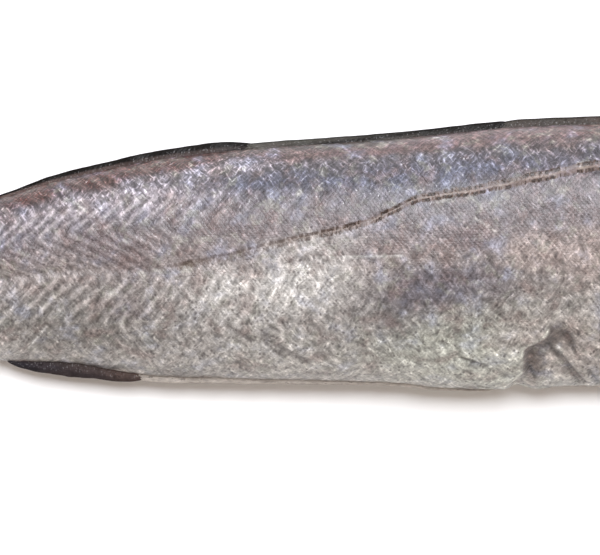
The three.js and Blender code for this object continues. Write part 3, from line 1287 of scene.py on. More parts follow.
@dataclass
class FlankSkin:
    """One side of the trunk's skin, from the nape cut to the tail fin."""

    side: Flank
    names: tuple[str, ...]
    rows: int
    columns: int
    seed: int
    bands: MuscleBands = MuscleBands()
    line: LateralLine = LateralLine()
    fold: VentFold = VentFold()
    paint: FlankPaint = FlankPaint()
    scratches: tuple[Streak, ...] = (
        Streak(218.6, -3.4, 251.0, -2.8, 0.4),
        Streak(133.6, 16.8, 138.7, 13.2, 0.5),
        Streak(276.8, 10.6, 284.2, 5.8, 0.4),
        Streak(117.1, -35.8, 123.9, -27.9, 0.4),
    )
    scales: Scales = Scales()
    band_relief: float = 0.3
    uneven: float = 0.3
    fine: float = 0.12
    wrinkle: float = 0.3
    wrinkled_depth: Span = (0.52, 0.2)
    wrinkled_along: Span = (150.0, 50.0)
    wrinkle_wide: float = 1.7
    wrinkle_long: float = 7.5
    line_deep: float = 0.3

    def build(self) -> list[bpy.types.Object]:
        """Makes the flank with its relief and its marks.

        Returns:
            The flank's lengths, with no material yet.
        """
        upper = self.side.value
        s = np.linspace(FORM.trunk_length, -FORM.end_length, self.rows)
        grid = FlankGrid.over(s, np.linspace(0, np.pi, self.columns), upper)
        grain = Grain(self.seed)
        phase = self.bands.phase(grid, grain)
        wrinkles = self._wrinkles(grid, grain)
        out = normals_of(grid.points) * (1 if upper else -1)
        relief = self._relief(grid, grain, phase, wrinkles)
        points = grid.points + out * relief[..., None]
        points[..., 2] = np.maximum(points[..., 2], 0.0)
        speckled = grid if upper else replace(grid, girth=self._carried_on(grid, s))
        tailward, napeward = self.scales.rows(speckled, grain)
        to_line = self.line.distance(grid)
        marks = {
            "flow": np.stack([phase, speckled.girth, grid.s], axis=-1),
            "signs": np.stack([to_line, self.bands.strength(grid), grid.depth], axis=-1),
            "scales": np.stack([tailward, napeward, wrinkles], axis=-1),
            "paint": opaque(self._colour(grid, grain)),
        }
        return GridPiece("flank", points, marks, flip=not upper).lengths(self.names)

    def _carried_on(self, grid: FlankGrid, s: np.ndarray) -> np.ndarray:
        """Counts the right flank's girth on over the back, so that the speckles aren't mirrored.

        Args:
            grid: The left flank.
            s: The rows' places in front of the tail base.

        Returns:
            The girth at each of the left flank's points, for its speckles.
        """
        back = FlankGrid.over(s, np.linspace(0, np.pi, self.columns), True).girth[:, :1]
        return back + grid.girth[:, :1] - grid.girth

    def _relief(
        self, grid: FlankGrid, grain: Grain, phase: np.ndarray, wrinkles: np.ndarray
    ) -> np.ndarray:
        """Works out how far the skin stands out.

        Args:
            grid: The flank.
            grain: Makes the skin uneven.
            phase: The count of the muscle bands.
            wrinkles: The folds of loose skin, from 0 to 1.

        Returns:
            The relief at each point, in millimetres.
        """
        relief = self.band_relief * self.bands.strength(grid) * self.bands.wave(phase)
        relief = relief + self.uneven * grain.layered(grid.s / 18 + 40, grid.girth / 13)
        relief = relief + self.fine * grain.layered(grid.s / 2.6, grid.girth / 2.2, 2)
        relief = relief - self.wrinkle * wrinkles
        relief = relief - self.line_deep * bell(self.line.distance(grid), 1.0)
        if self.side is Flank.RIGHT:
            relief = relief + self.fold.height(grid)
        return relief * ease(np.sin(grid.turn) / 0.14) * ease((FORM.trunk_length - grid.s) / 3)

    def _colour(self, grid: FlankGrid, grain: Grain) -> np.ndarray:
        """Paints the skin.

        Args:
            grid: The flank.
            grain: Makes the colours ragged.

        Returns:
            The colours; only the right flank has the fold and the scratches.
        """
        colour = self.paint.colour(grid, grain)
        if self.side is Flank.LEFT:
            return colour
        for scratch in self.scratches:
            colour = tinted(colour, Pigment.SCRATCH_AND_GLINT, 0.7 * scratch.mark(grid))
        return self.fold.colour(grid, colour)

    def _wrinkles(self, grid: FlankGrid, grain: Grain) -> np.ndarray:
        """Draws short slanting folds of loose skin over the belly.

        Args:
            grid: The flank.
            grain: Scatters the folds.

        Returns:
            How far each point is inside a fold, from 0 to 1.
        """
        where = rise(grid.depth, *self.wrinkled_depth) * rise(grid.s, *self.wrinkled_along)
        across = (grid.s * 0.60 - grid.girth * 0.80) / self.wrinkle_wide
        along = (grid.s * 0.80 + grid.girth * 0.60) / self.wrinkle_long
        folds = grain.at(across, along)
        patches = ease(grain.layered(grid.s / 16 + 7, grid.girth / 9, 2) * 1.3 + 0.45)
        return where * patches * rise(folds, 0.22, 0.4)


# ---- The cut nape, the backbone and the empty belly ----


class Tissue(Enum):
    """The colours inside the fish."""

    FLESH = lit(214, 200, 188)
    PINK = lit(204, 172, 162)
    DARK_MUSCLE = lit(146, 92, 80)
    BLOOD = lit(96, 34, 30)
    SEPTUM = lit(232, 226, 218)
    RIM = lit(126, 116, 112)
    LINING = lit(172, 160, 156)
    VEIL = lit(120, 110, 110)
    BONE = lit(222, 208, 186)
    MARROW = lit(150, 106, 86)


def tinted(base: np.ndarray, tone: Enum, share: np.ndarray) -> np.ndarray:
    """Covers colours with a tone.

    Args:
        base: The colours, with red, green and blue last.
        tone: The tone, whose value is red, green and blue.
        share: How much of the tone covers each colour.

    Returns:
        The covered colours.
    """
    return lerp(base, np.array(tone.value), np.clip(share, 0, 1)[..., None])


def opaque(colour: np.ndarray) -> np.ndarray:
    """Adds a last value of 1 to each colour."""
    return np.concatenate([colour, np.ones_like(colour[..., :1])], axis=-1)


@dataclass(frozen=True)
class NapeCut:
    """The cut flesh at the nape, from the skin in to the empty belly."""

    rings: int = 72
    half_columns: int = 150
    seed: int = 37
    flake: float = 2.8
    flake_deep: float = 0.45
    rim: Span = (0.4, 0.9)
    back_muscle: Span = (17.0, 10.0)
    wall_muscle: Span = (-16.0, 16.0)
    septum_wide: float = 0.8
    septum_above: Span = (6.0, 3.0)
    canal_up: float = 9.5
    canal_wide: float = 2.0
    canal_deep: float = 1.6

    def build(self) -> bpy.types.Object:
        """Makes the cut face with its flakes and its marks.

        Returns:
            The object, with no material yet.
        """
        grain = Grain(self.seed)
        turn = np.linspace(np.pi, -np.pi, 2 * self.half_columns + 1)[None, :]
        nape = np.full((1, 1), FORM.trunk_length)
        above = (turn >= 0)[..., None]
        right, left = (FORM.skin(nape, np.abs(turn), flank.value) for flank in Flank)
        outer = np.where(above, right, left)
        inner = FORM.inner(nape, turn)
        share = np.linspace(0, 1, self.rings)[:, None]
        points = lerp(outer, inner, share[..., None])
        thick = np.linalg.norm(inner - outer, axis=-1)
        in_from_skin, in_from_belly = share * thick, (1 - share) * thick
        y, z = points[..., 1], points[..., 2]
        flakes = self._flakes(y, z, grain)
        inside = ease(in_from_skin / 1.5) * ease(in_from_belly / 1.5)
        gap = np.abs(2 * (flakes - np.floor(flakes)) - 1) ** 4
        relief = -self.flake_deep * gap + 0.3 * grain.layered(y / 5, z / 5)
        relief = relief - self.canal_deep * self._canal(y, z)
        points[..., 0] = FORM.face_x(y, z) + relief * inside
        marks = {
            "flow": np.stack([flakes, y, z], axis=-1),
            "paint": opaque(self._colour(y, z, in_from_skin, in_from_belly, gap, grain)),
        }
        return GridPiece("nape_cut", points, marks).build()

    def _flakes(self, y: np.ndarray, z: np.ndarray, grain: Grain) -> np.ndarray:
        """Counts the cut flakes outward from the middle of each muscle.

        Args:
            y: The points' Y.
            z: The points' heights.
            grain: Makes the flakes uneven.

        Returns:
            The count, which rises by one from each flake to the next.
        """
        _, spine_y, spine_z = FORM.spine_end()
        side = np.abs(z - spine_z)
        (back_up, back_out), (wall_up, wall_out) = self.back_muscle, self.wall_muscle
        back = np.hypot((y - spine_y - back_up) * 0.75, side - back_out)
        wall = np.hypot((y - spine_y - wall_up) * 0.5, (side - wall_out) * 1.2)
        return np.minimum(back, wall + 1.5) / self.flake + 0.35 * grain.layered(y / 7, z / 7)

    def _canal(self, y: np.ndarray, z: np.ndarray) -> np.ndarray:
        """Finds the canal over the backbone.

        Args:
            y: The points' Y.
            z: The points' heights.

        Returns:
            1 inside the canal and 0 outside it.
        """
        _, spine_y, spine_z = FORM.spine_end()
        far = np.hypot(y - spine_y - self.canal_up, z - spine_z)
        return 1 - ease(far / self.canal_wide - 0.4)

    def _colour(
        self,
        y: np.ndarray,
        z: np.ndarray,
        in_from_skin: np.ndarray,
        in_from_belly: np.ndarray,
        gap: np.ndarray,
        grain: Grain,
    ) -> np.ndarray:
        """Paints the cut flesh.

        Args:
            y: The points' Y.
            z: The points' heights.
            in_from_skin: How far in from the skin they are.
            in_from_belly: How far they are from the empty belly.
            gap: 1 in the gaps between flakes.
            grain: Makes the tones uneven.

        Returns:
            Red, green and blue for each point.
        """
        _, spine_y, spine_z = FORM.spine_end()
        cloud = grain.layered(y / 9 + 50, z / 9)
        colour = np.broadcast_to(np.array(Tissue.FLESH.value), (*y.shape, 3))
        colour = tinted(colour, Tissue.PINK, 0.45 + 0.5 * cloud)
        colour = tinted(colour, Tissue.SEPTUM, 0.55 * gap)
        wedge = bell(y - spine_y - 1, 9) * bell(in_from_skin, 5)
        colour = tinted(colour, Tissue.DARK_MUSCLE, 0.8 * wedge)
        bled = bell(np.hypot(y - spine_y + 6, z - spine_z), 6.5 + 1.5 * cloud)
        colour = tinted(colour, Tissue.BLOOD, 0.75 * bled)
        divide = bell(z - spine_z, self.septum_wide) * rise(y - spine_y, *self.septum_above)
        colour = tinted(colour, Tissue.SEPTUM, 0.6 * divide)
        colour = tinted(colour, Tissue.BLOOD, self._canal(y, z))
        colour = tinted(colour, Tissue.LINING, 1 - ease(in_from_belly / 0.8))
        return tinted(colour, Tissue.RIM, fall(in_from_skin, *self.rim))


@dataclass(frozen=True)
class Backbone:
    """The backbone's end in the cut flesh: a disc with a hollow middle."""

    radius: float = 6.0
    around: int = 72
    steps: int = 40
    seed: int = 5
    profile: tuple[Span, ...] = (
        (1.0, -8.0), (1.0, 0.6), (0.98, 1.9), (0.90, 2.7), (0.80, 2.6), (0.60, 1.9), (0.3, 0.2),
        (0.0, -0.6),
    )

    def build(self) -> bpy.types.Object:
        """Makes the disc.

        Returns:
            The object, with no material yet.
        """
        grain = Grain(self.seed)
        place = np.linspace(0, len(self.profile) - 1, self.steps)[:, None]
        corners = np.arange(len(self.profile))
        ring, height = (np.interp(place, corners, sizes) for sizes in zip(*self.profile))
        angle = np.linspace(0, 2 * np.pi, self.around, endpoint=False)[None, :]
        ring, height, angle = np.broadcast_arrays(ring, height, angle)
        uneven = 1 + 0.05 * np.sin(3 * angle + 1) + 0.03 * np.sin(7 * angle)
        end = FORM.spine_end()
        x = end[0] + height + 0.15 * grain.layered(angle * 3, ring * 4)
        y = end[1] + self.radius * ring * uneven * np.cos(angle)
        z = end[2] + self.radius * ring * uneven * np.sin(angle)
        marks = {"flow": np.stack([ring, angle, height], axis=-1)}
        points = np.stack([x, y, z], axis=-1)
        return GridPiece("backbone", points, marks, around=True, flip=True).build()


@dataclass(frozen=True)
class EmptyBelly:
    """The wall of the emptied belly, from the nape cut back to the vent."""

    rows: int = 240
    half_columns: int = 100
    seed: int = 51
    rib_pitch: float = 6.4
    rib_high: float = 0.55
    rib_wide: float = 0.42
    rib_slant: float = 0.55
    rib_starts: Span = (4.0, 4.0)
    rib_stops: Span = (6.0, 12.0)
    uneven: float = 0.3
    kidney_wide: float = 4.2
    lip: float = 10.0

    def build(self) -> bpy.types.Object:
        """Makes the wall with its ribs and its marks.

        Returns:
            The object, with no material yet.
        """
        grain = Grain(self.seed)
        s = np.linspace(FORM.trunk_length, FORM.vent_at, self.rows)[:, None]
        turn = np.linspace(np.pi, -np.pi, 2 * self.half_columns + 1)[None, :]
        s, turn = np.broadcast_arrays(s, turn)
        points = FORM.inner(s, turn)
        face = FORM.face_x(points[0, :, 1], points[0, :, 2]) - points[0, :, 0]
        points[..., 0] += face * rise(s, FORM.trunk_length - self.lip, self.lip)
        girth = girth_of(points, self.half_columns)
        to_edge = np.abs(girth[:, [-1]]) - np.abs(girth)
        ribs = (s + self.rib_slant * np.abs(girth)) / self.rib_pitch
        rib = bell(np.abs(2 * (ribs - np.floor(ribs)) - 1), self.rib_wide)
        shown = rise(np.abs(girth), *self.rib_starts) * rise(to_edge, *self.rib_stops)
        relief = self.rib_high * rib * shown + self.uneven * grain.layered(s / 12, girth / 9)
        ends = ease((FORM.trunk_length - s) / 4) * rise(s, FORM.vent_at, 30)
        relief = relief * ease(to_edge / 4) * ends
        points = points + normals_of(points) * relief[..., None]
        marks = {
            "flow": np.stack([ribs, girth, s], axis=-1),
            "paint": opaque(self._colour(s, girth, to_edge, rib * shown, grain)),
        }
        return GridPiece("belly_lining", points, marks).build()

    def _colour(
        self, s: np.ndarray, girth: np.ndarray, to_edge: np.ndarray, rib: np.ndarray, grain: Grain
    ) -> np.ndarray:
        """Paints the wall.

        Args:
            s: The points' places in front of the tail base.
            girth: How far from the roof's middle they are.
            to_edge: How far from the belly cut's edge they are.
            rib: 1 over the ribs.
            grain: Makes the tones uneven.

        Returns:
            Red, green and blue for each point.
        """
        cloud = grain.layered(s / 14 + 30, girth / 10, 4)
        colour = np.broadcast_to(np.array(Tissue.LINING.value), (*s.shape, 3))
        colour = tinted(colour, Tissue.VEIL, 0.35 + 0.5 * cloud)
        colour = tinted(colour, Tissue.PINK, 0.35 * rib)
        kidney = bell(girth, self.kidney_wide * (1 + 0.25 * cloud))
        colour = tinted(colour, Tissue.BLOOD, 0.85 * kidney)
        return tinted(colour, Tissue.FLESH, 1 - ease((to_edge - 2.5) / 4 + 0.3 * cloud))


# ---- Fins ----


class FinTone(Enum):
    """The colours of the fins, as seen in soft daylight."""

    EDGE = lit(24, 21, 20)
    SOOT = lit(42, 38, 38)
    OLIVE = lit(68, 65, 60)
    GREY = lit(88, 84, 83)
    MOSS = lit(88, 86, 80)
    BROWN = lit(100, 84, 80)
    BLUE_BLACK = lit(46, 46, 54)
    ROOT = lit(150, 134, 128)
    RIM = lit(206, 198, 190)


class Edge(IntEnum):
    """The trunk's two edges, and on which side of its middle each is."""

    BACK = 1
    BELLY = -1


@dataclass(frozen=True)
class FoldedFin:
    """A fin folded down along one edge of the trunk."""

    name: str
    edge: Edge
    rear: float
    front: float
    tall: float
    low: float
    power: float
    tip: float
    heel: float
    rear_tone: FinTone
    front_tone: FinTone
    dark_edge: float
    seed: int
    dark_from: float = 0.45
    fold_shadowed: bool = False
    foot: float = 2.0
    thick_root: float = 2.4
    thick_edge: float = 0.9
    ray_pitch: float = 2.0
    ray_lean: float = 5.5
    ray_high: float = 0.14
    side_columns: int = 16

    def height(self, s: np.ndarray) -> np.ndarray:
        """Works out how far the fin stands out of the trunk.

        Args:
            s: Places in front of the tail base.

        Returns:
            The heights in millimetres.
        """
        along = np.clip((s - self.rear) / (self.front - self.rear), 0, 1)
        rise = np.clip((s - self.rear) / self.tip, 0, 1) ** 0.7
        fall = np.sin(np.pi / 2 * np.clip((self.front - s) / self.heel, 0, 1))
        return lerp(self.low, self.tall, (1 - along) ** self.power) * rise * fall

    def lowest(self) -> float:
        """Finds the lowest place of the fin's edge.

        Returns:
            The place's Y in millimetres.
        """
        s = np.linspace(self.rear, self.front, 400)
        section = FORM.section(s)
        return float((section.middle + self.edge * (section.reach + self.height(s))).min())

    def build(self) -> bpy.types.Object:
        """Makes the fin: a thin blade with slanting rays and a soft, slightly uneven edge.

        Returns:
            The object, with no material yet.
        """
        grain = Grain(self.seed)
        s = np.linspace(self.rear, self.front, int((self.front - self.rear) * 2.6))[:, None]
        loop = np.linspace(-1, 1, 2 * self.side_columns + 1)[None, :]
        s, loop = np.broadcast_arrays(s, loop)
        side = np.sign(-loop) * self.edge
        up = 1 - np.abs(loop) ** 1.3
        section = FORM.section(s[:, :1])
        tall = self.height(s)
        out = lerp(-self.foot, tall, up)
        rays = (s + self.ray_lean * out) / self.ray_pitch + 0.5 * grain.at(s / 9, out / 3)
        ridge = np.abs(np.sin(np.pi * rays))
        ragged = tall * up**3 * 0.08 * grain.layered(s / 7, s * 0)
        closed = np.sqrt(np.clip(1 - up**6, 0, 1))
        thick = lerp(self.thick_root, self.thick_edge, up) / 2 + self.ray_high * ridge
        ripple = 0.4 * up * np.sin(2 * np.pi * s / 15) + 0.25 * up * grain.at(s / 6, out / 4)
        y = section.middle + self.edge * section.reach + self.edge * (out + ragged)
        z = FORM.plane(section, float(self.edge)) + ripple + self.edge * side * thick * closed
        points = np.stack([s, y, np.maximum(z, 0.0)], axis=-1)
        share = np.clip(out / np.maximum(tall, 0.5), 0, 1)
        marks = {
            "flow": np.stack([rays, share, s], axis=-1),
            "paint": opaque(self._colour(s, share, grain)),
        }
        return GridPiece(self.name, points, marks, flip=self.edge < 0).build()

    def _colour(self, s: np.ndarray, share: np.ndarray, grain: Grain) -> np.ndarray:
        """Paints the fin from its root to its edge.

        Args:
            s: Places in front of the tail base.
            share: How far out from the root they are, from 0 to 1.
            grain: Makes the tones uneven.

        Returns:
            Red, green and blue for each point.
        """
        along = ease((s - self.rear) / (self.front - self.rear) + 0.25 * grain.layered(s / 14, share))
        cloud = grain.layered(s / 12, share * 2)
        rear, front = np.array(self.rear_tone.value), np.array(self.front_tone.value)
        base = lerp(rear, front, along[..., None])
        base = tinted(base, FinTone.BROWN, 0.15 + 0.3 * cloud - 0.3 * share)
        base = tinted(base, FinTone.GREY, 0.35 * cloud)
        # A dark streak slanting across the fin from its root to its edge: painted shadow of a fold.
        if self.fold_shadowed:
            reach = (s - self.rear) / (self.front - self.rear)
            fold_shadow = bell(share - 0.9 * rise(reach, 0.28, 0.55), 0.25)
            base = tinted(base, FinTone.EDGE, 0.9 * fold_shadow * rise(reach, 0.3, 0.1))
        return tinted(base, FinTone.EDGE, self.dark_edge * rise(share, self.dark_from, 0.3))


@dataclass(frozen=True)
class TailFin:
    """The tail fin: a fan of rays behind the tail base, lying limp on the ground."""

    length: float = 71.0
    half_root: float = 13.5
    half_edge: float = 31.0
    notch: float = 4.5
    rays: int = 16
    overlap: float = 12.0
    thick_root: float = 3.0
    thick_edge: float = 0.9
    rib_high: float = 0.26
    branch: Span = (0.35, 0.4)
    drop: float = 3.5
    across: int = 320
    rows_each_side: int = 90
    seed: int = 71

    def build(self) -> bpy.types.Object:
        """Makes the fin with its rays and its marks.

        Returns:
            The object, with no material yet.
        """
        grain = Grain(self.seed)
        loop = np.linspace(-1, 1, 2 * self.rows_each_side + 1)[:, None]
        lobe = np.linspace(-1, 1, self.across)[None, :]
        loop, lobe = np.broadcast_arrays(loop, lobe)
        side = np.sign(-loop)
        toward_tip = 1 - np.abs(loop)
        length = self.length + self.overlap - self.notch * (1 - lobe**2)
        back = toward_tip * length
        out = np.clip((back - self.overlap) / self.length, 0, 1)
        rays = self.rays * (lobe + 1) / 2
        ridge = np.cos(2 * np.pi * rays)
        branches = np.cos(4 * np.pi * rays + 0.6 * grain.at(out * 6, lobe * 3))
        fine = lerp(ridge, branches, rise(out, *self.branch))
        ragged = 1 - 0.035 * toward_tip**6 * (1 + grain.layered(lobe * 22, out * 0, 3) - 0.5 * fine)
        root = FORM.section(np.array([[self.overlap]]))
        spread = lerp(self.half_root, self.half_edge, out**0.8)
        thin = lerp(self.thick_root, self.thick_edge, out**0.6)
        closed = np.sqrt(np.clip(1 - lobe**20, 0, 1) * np.clip(1 - toward_tip**30, 0, 1))
        rib = self.rib_high * fine * np.sin(np.pi * np.clip(out, 0, 0.85)) * closed
        lie = self.thick_edge / 2 + 1.1 * out * (1 + np.sin(2.4 * lobe + 1.2))
        middle = lerp(root.height - 1, lie, ease(out * 1.4))
        wave = 0.35 * out * grain.at(out * 3, lobe * 3)
        x = self.overlap - back * ragged
        y = root.middle - self.drop * out + lobe * spread
        z = middle + wave + side * (thin * closed + rib) / 2
        points = np.stack([x, y, np.maximum(z, np.where(side < 0, 0.0, 0.5))], axis=-1)
        marks = {
            "flow": np.stack([rays, out, lobe * spread], axis=-1),
            "paint": opaque(self._colour(out, lobe, fine, grain)),
        }
        return GridPiece("tail_fin", points, marks, flip=True).build()

    @staticmethod
    def _colour(out: np.ndarray, lobe: np.ndarray, fine: np.ndarray, grain: Grain) -> np.ndarray:
        """Paints the fin from its root to its edge.

        Args:
            out: How far behind the root the points are, from 0 to 1.
            lobe: How high up the fan they are, from -1 to 1.
            fine: 1 along the rays and -1 between them.
            grain: Makes the tones uneven.

        Returns:
            Red, green and blue for each point.
        """
        cloud = grain.layered(out * 7, lobe * 4)
        base = np.broadcast_to(np.array(FinTone.ROOT.value), (*out.shape, 3))
        base = tinted(base, FinTone.GREY, ease(out / 0.3))
        base = tinted(base, FinTone.BROWN, 0.35 + 0.4 * cloud)
        base = tinted(base, FinTone.OLIVE, rise(out, 0.2, 0.5) * (0.6 - 0.3 * fine))
        edge = np.maximum(rise(out, 0.86, 0.14), 0.7 * rise(np.abs(lobe), 0.9, 0.1))
        return tinted(base, FinTone.EDGE, 0.85 * edge)


FOLDED_FINS = (
    FoldedFin(
        "back_fin_rear", Edge.BACK, rear=98, front=206, tall=2.2, low=3.9, power=1, tip=26, heel=22,
        rear_tone=FinTone.BROWN, front_tone=FinTone.SOOT, dark_edge=1, dark_from=0.25, seed=81,
    ),
    FoldedFin(
        "back_fin_middle", Edge.BACK, rear=182, front=294, tall=1.9, low=2.8, power=1, tip=5, heel=8,
        rear_tone=FinTone.MOSS, front_tone=FinTone.EDGE, dark_edge=0.8, dark_from=0.7, seed=82,
        fold_shadowed=True,
    ),
    FoldedFin(
        "back_fin_front", Edge.BACK, rear=277, front=392, tall=2.8, low=3.2, power=1, tip=16, heel=20,
        rear_tone=FinTone.OLIVE, front_tone=FinTone.BROWN, dark_edge=0.8, dark_from=0.7, seed=83,
    ),
    FoldedFin(
        "belly_fin_rear", Edge.BELLY, rear=108.5, front=166, tall=7, low=2.6, power=1, tip=22, heel=18,
        rear_tone=FinTone.BLUE_BLACK, front_tone=FinTone.BROWN, dark_edge=0.4, seed=84,
    ),
    FoldedFin(
        "belly_fin_front", Edge.BELLY, rear=150, front=286, tall=2.6, low=0.9, power=1.5, tip=6, heel=5,
        rear_tone=FinTone.RIM, front_tone=FinTone.RIM, dark_edge=0, seed=85,
    ),
)


# ---- Finishes ----


@dataclass(frozen=True)
class SkinFinish:
    """Wet scaled skin over the painted bands, with painted highlights: glints on the scales, and a
    sheen along the muscle bands' ridges.
    """

    wet: float = 0.12
    rough: float = 0.34
    line_dark: Tone = lit(44, 30, 24)
    line_brown: Tone = lit(92, 64, 46)
    line_tan: Tone = lit(136, 112, 96)
    line_pale: Tone = lit(176, 154, 138)
    septum_and_ridge_highlight: Tone = lit(222, 216, 214)
    glint: Tone = lit(246, 247, 252)
    upper_fades: Span = (0.06, 0.3)
    bare_fades: Span = (0.05, 0.1)
    bare_starts: Span = (200.0, 235.0)
    gleam_starts: Span = (0.06, 0.12)
    gleam_fades: Span = (0.22, 0.45)
    sparks_start: Span = (0.012, 0.03)
    sparks_fade: Span = (0.05, 0.09)
    sparks_end: Span = (205.0, 230.0)
    line_faint: Span = (164.0, 172.0)
    line_clear: Span = (195.0, 250.0)
    line_widens: Span = (240.0, 290.0)
    relief: float = 0.22 * MM
    cool: Tone = lit(126, 134, 156)
    warm: Tone = lit(176, 148, 142)
    green: Tone = lit(160, 160, 148)
    dark: Tone = lit(74, 66, 68)

    def material(self) -> bpy.types.Material:
        """Builds the material.

        Returns:
            The material.
        """
        shader = Shader("wet_skin")
        phase, girth, along = shader.parts(shader.mark("flow", "Vector"))
        line, strength, depth = shader.parts(shader.mark("signs", "Vector"))
        tailward, napeward, wrinkle = shader.parts(shader.mark("scales", "Vector"))
        place = shader.vector(along, girth)
        clouds = shader.noise(place, 0.11, 3.0)
        blotches = shader.noise(shader.vector(along, girth, 7.0), 0.3, 3.0, 0.65)
        grain = shader.noise(place, 0.75, 3.0, 0.75)
        fine = shader.noise(place, 2.0, 2.0, 0.7)
        streaks = shader.noise(shader.vector(phase * 5.0, girth * 0.3, 3.0), 1.0, 2.0, 0.6)
        warp = shader.noise(shader.vector(along, girth, 31.0), 0.6, 2.0) - 0.5
        tailward, napeward = tailward + warp * 0.8, napeward - warp * 0.8
        weave = shader.noise(shader.vector(tailward * 0.28, napeward * 0.75, 3.0), 1.0, 2.0, 0.6)
        other_weave = shader.noise(shader.vector(tailward * 0.75, napeward * 0.28, 13.0), 1.0, 2.0, 0.6)
        leaning = shader.between(shader.noise(shader.vector(along, girth, 41.0), 0.13, 2.0), 0.42, 0.58)

        row, other_row = shader.math("FLOOR", tailward), shader.math("FLOOR", napeward)
        in_row, in_other = shader.math("FRACT", tailward), shader.math("FRACT", napeward)
        luck, luck_2, luck_3 = shader.parts(shader.chance(shader.vector(row, other_row)))
        domed = shader.math("SINE", in_row * math.pi) * shader.math("SINE", in_other * math.pi)
        edges = shader.noise(shader.vector(tailward * 0.45, napeward * 1.6, 51.0), 1.0, 1.0)
        other_edges = shader.noise(shader.vector(tailward * 1.6, napeward * 0.45, 61.0), 1.0, 1.0)
        mesh = shader.between(shader.math("MAXIMUM", edges, other_edges), 0.46, 0.74)
        stroke = self._stroke(shader, in_row)
        other_stroke = self._stroke(shader, in_other)
        rear = shader.math("MINIMUM", in_row, in_other)
        clear = shader.between(blotches, 0.36, 0.62) * 0.6 + 0.4
        upper = shader.below(depth, *self.upper_fades)
        bare = shader.below(depth, *self.bare_fades) * shader.between(along, *self.bare_starts)

        # Lighter along the muscle bands' raised ridges and a little darker elsewhere where the bands
        # show: partly the pale septa, partly painted highlight and shade of that relief.
        to_ridge = shader.math("ABSOLUTE", shader.math("FRACT", phase) - 0.5) * 2.0
        broken = shader.noise(shader.vector(phase * 0.8, girth * 0.3, 11.0), 1.0, 2.0)
        ridge = shader.between(to_ridge, 0.25, 0.95) * strength
        ridge = ridge * (shader.between(broken, 0.36, 0.56) * 0.7 + 0.3)

        small = (grain - 0.5) * 1.1 + (fine - 0.5) * 0.6 + (mesh - 0.4) * (upper * 0.9 + 0.55 - bare)
        small = small + (luck - 0.45) * domed * clear * 0.9
        small = small + (stroke * (luck_2 - 0.4) + other_stroke * (luck_3 - 0.4)) * 0.25 * clear
        broad = (blotches - 0.5) * 2.1 + (clouds - 0.5) * 2.0
        broad = broad + (streaks - 0.5) * (strength * 0.8 + 0.6)
        broad = broad + (weave - 0.5) * (leaning * 2.4 + 0.8)
        broad = broad + (other_weave - 0.5) * (3.2 - leaning * 2.4)
        broad = broad + ridge * 0.8 - strength * 0.25
        light = 2.0 ** (small * (upper * 0.3 + 1.0) + broad * (upper * 0.5 + 1.0))

        colour = shader.mark("paint", "Color")
        colour = shader.mix(shader.between(clouds, 0.5, 0.72) * 0.45, colour, self.cool)
        colour = shader.mix(shader.between(clouds, 0.5, 0.3) * 0.35, colour, self.warm)
        tints = shader.noise(shader.vector(along, girth, 21.0), 0.22, 2.0)
        colour = shader.mix(shader.between(tints, 0.54, 0.7) * 0.4, colour, self.green)
        colour = shader.scaled(colour, light)

        # Paler along the ridges: the septa, with a painted highlight of the raised relief.
        colour = shader.mix(ridge * 0.25, colour, self.septum_and_ridge_highlight)

        # Painted highlights: small bright glints of the wet scales, mostly in a band below the back and
        # in the strip under the rear back fin.
        gleam = shader.between(depth, *self.gleam_starts) * shader.below(depth, *self.gleam_fades)
        sparks = shader.between(depth, *self.sparks_start) * shader.below(depth, *self.sparks_fade)
        gleam = gleam + sparks * shader.below(along, *self.sparks_end) * 0.8
        spots = mesh * 0.5 + (fine - 0.5) * 1.1 + (grain - 0.5) * 0.7 + (luck_2 - 0.5) * 0.3
        lucky = shader.between(blotches, 0.42, 0.66) * 0.7 + 0.5
        bright = shader.between(spots, 0.5, 0.78) * (gleam * 0.8 + 0.12) * lucky
        colour = shader.mix(bright * clear, colour, self.glint)

        slanting = shader.vector(along * 0.9 - girth, along * 0.35 + girth * 0.3, 5.0)
        flecks = shader.noise(slanting, 0.8, 2.0)
        dusk = shader.between(flecks, 0.58, 0.72) * shader.between(blotches, 0.42, 0.6)
        pore = domed * shader.below(luck_3, 0.08, 0.16)
        colour = shader.mix(dusk * 0.5, colour, self.dark)
        colour = shader.mix(pore * 0.6, colour, self.dark)
        # Darker along the wrinkles: dark skin in them, and painted shade in their folds.
        colour = shader.mix(wrinkle * 0.42, colour, self.dark)

        colour = self._lined(shader, colour, line, along, grain)
        shader.set(
            Base_Color=colour,
            Roughness=self.rough - 0.18 + clouds * 0.16 + grain * 0.24,
            Coat_Weight=self.wet,
            Coat_Roughness=0.2,
            Specular_IOR_Level=0.3,
        )
        tile = 1.0 - shader.math("MAXIMUM", in_row, in_other)
        height = tile * shader.between(rear, 0.0, 0.3) * clear
        shader.bump(height + grain * 0.7 + fine * 0.3 + streaks * 0.5, self.relief)
        return shader.material

    @staticmethod
    def _stroke(shader: Shader, share: Signal) -> Signal:
        """Returns 1 along a scale's bright edge and 0 over the rest of it."""
        return shader.between(share, 0.0, 0.3) * shader.below(share, 0.4, 0.75)

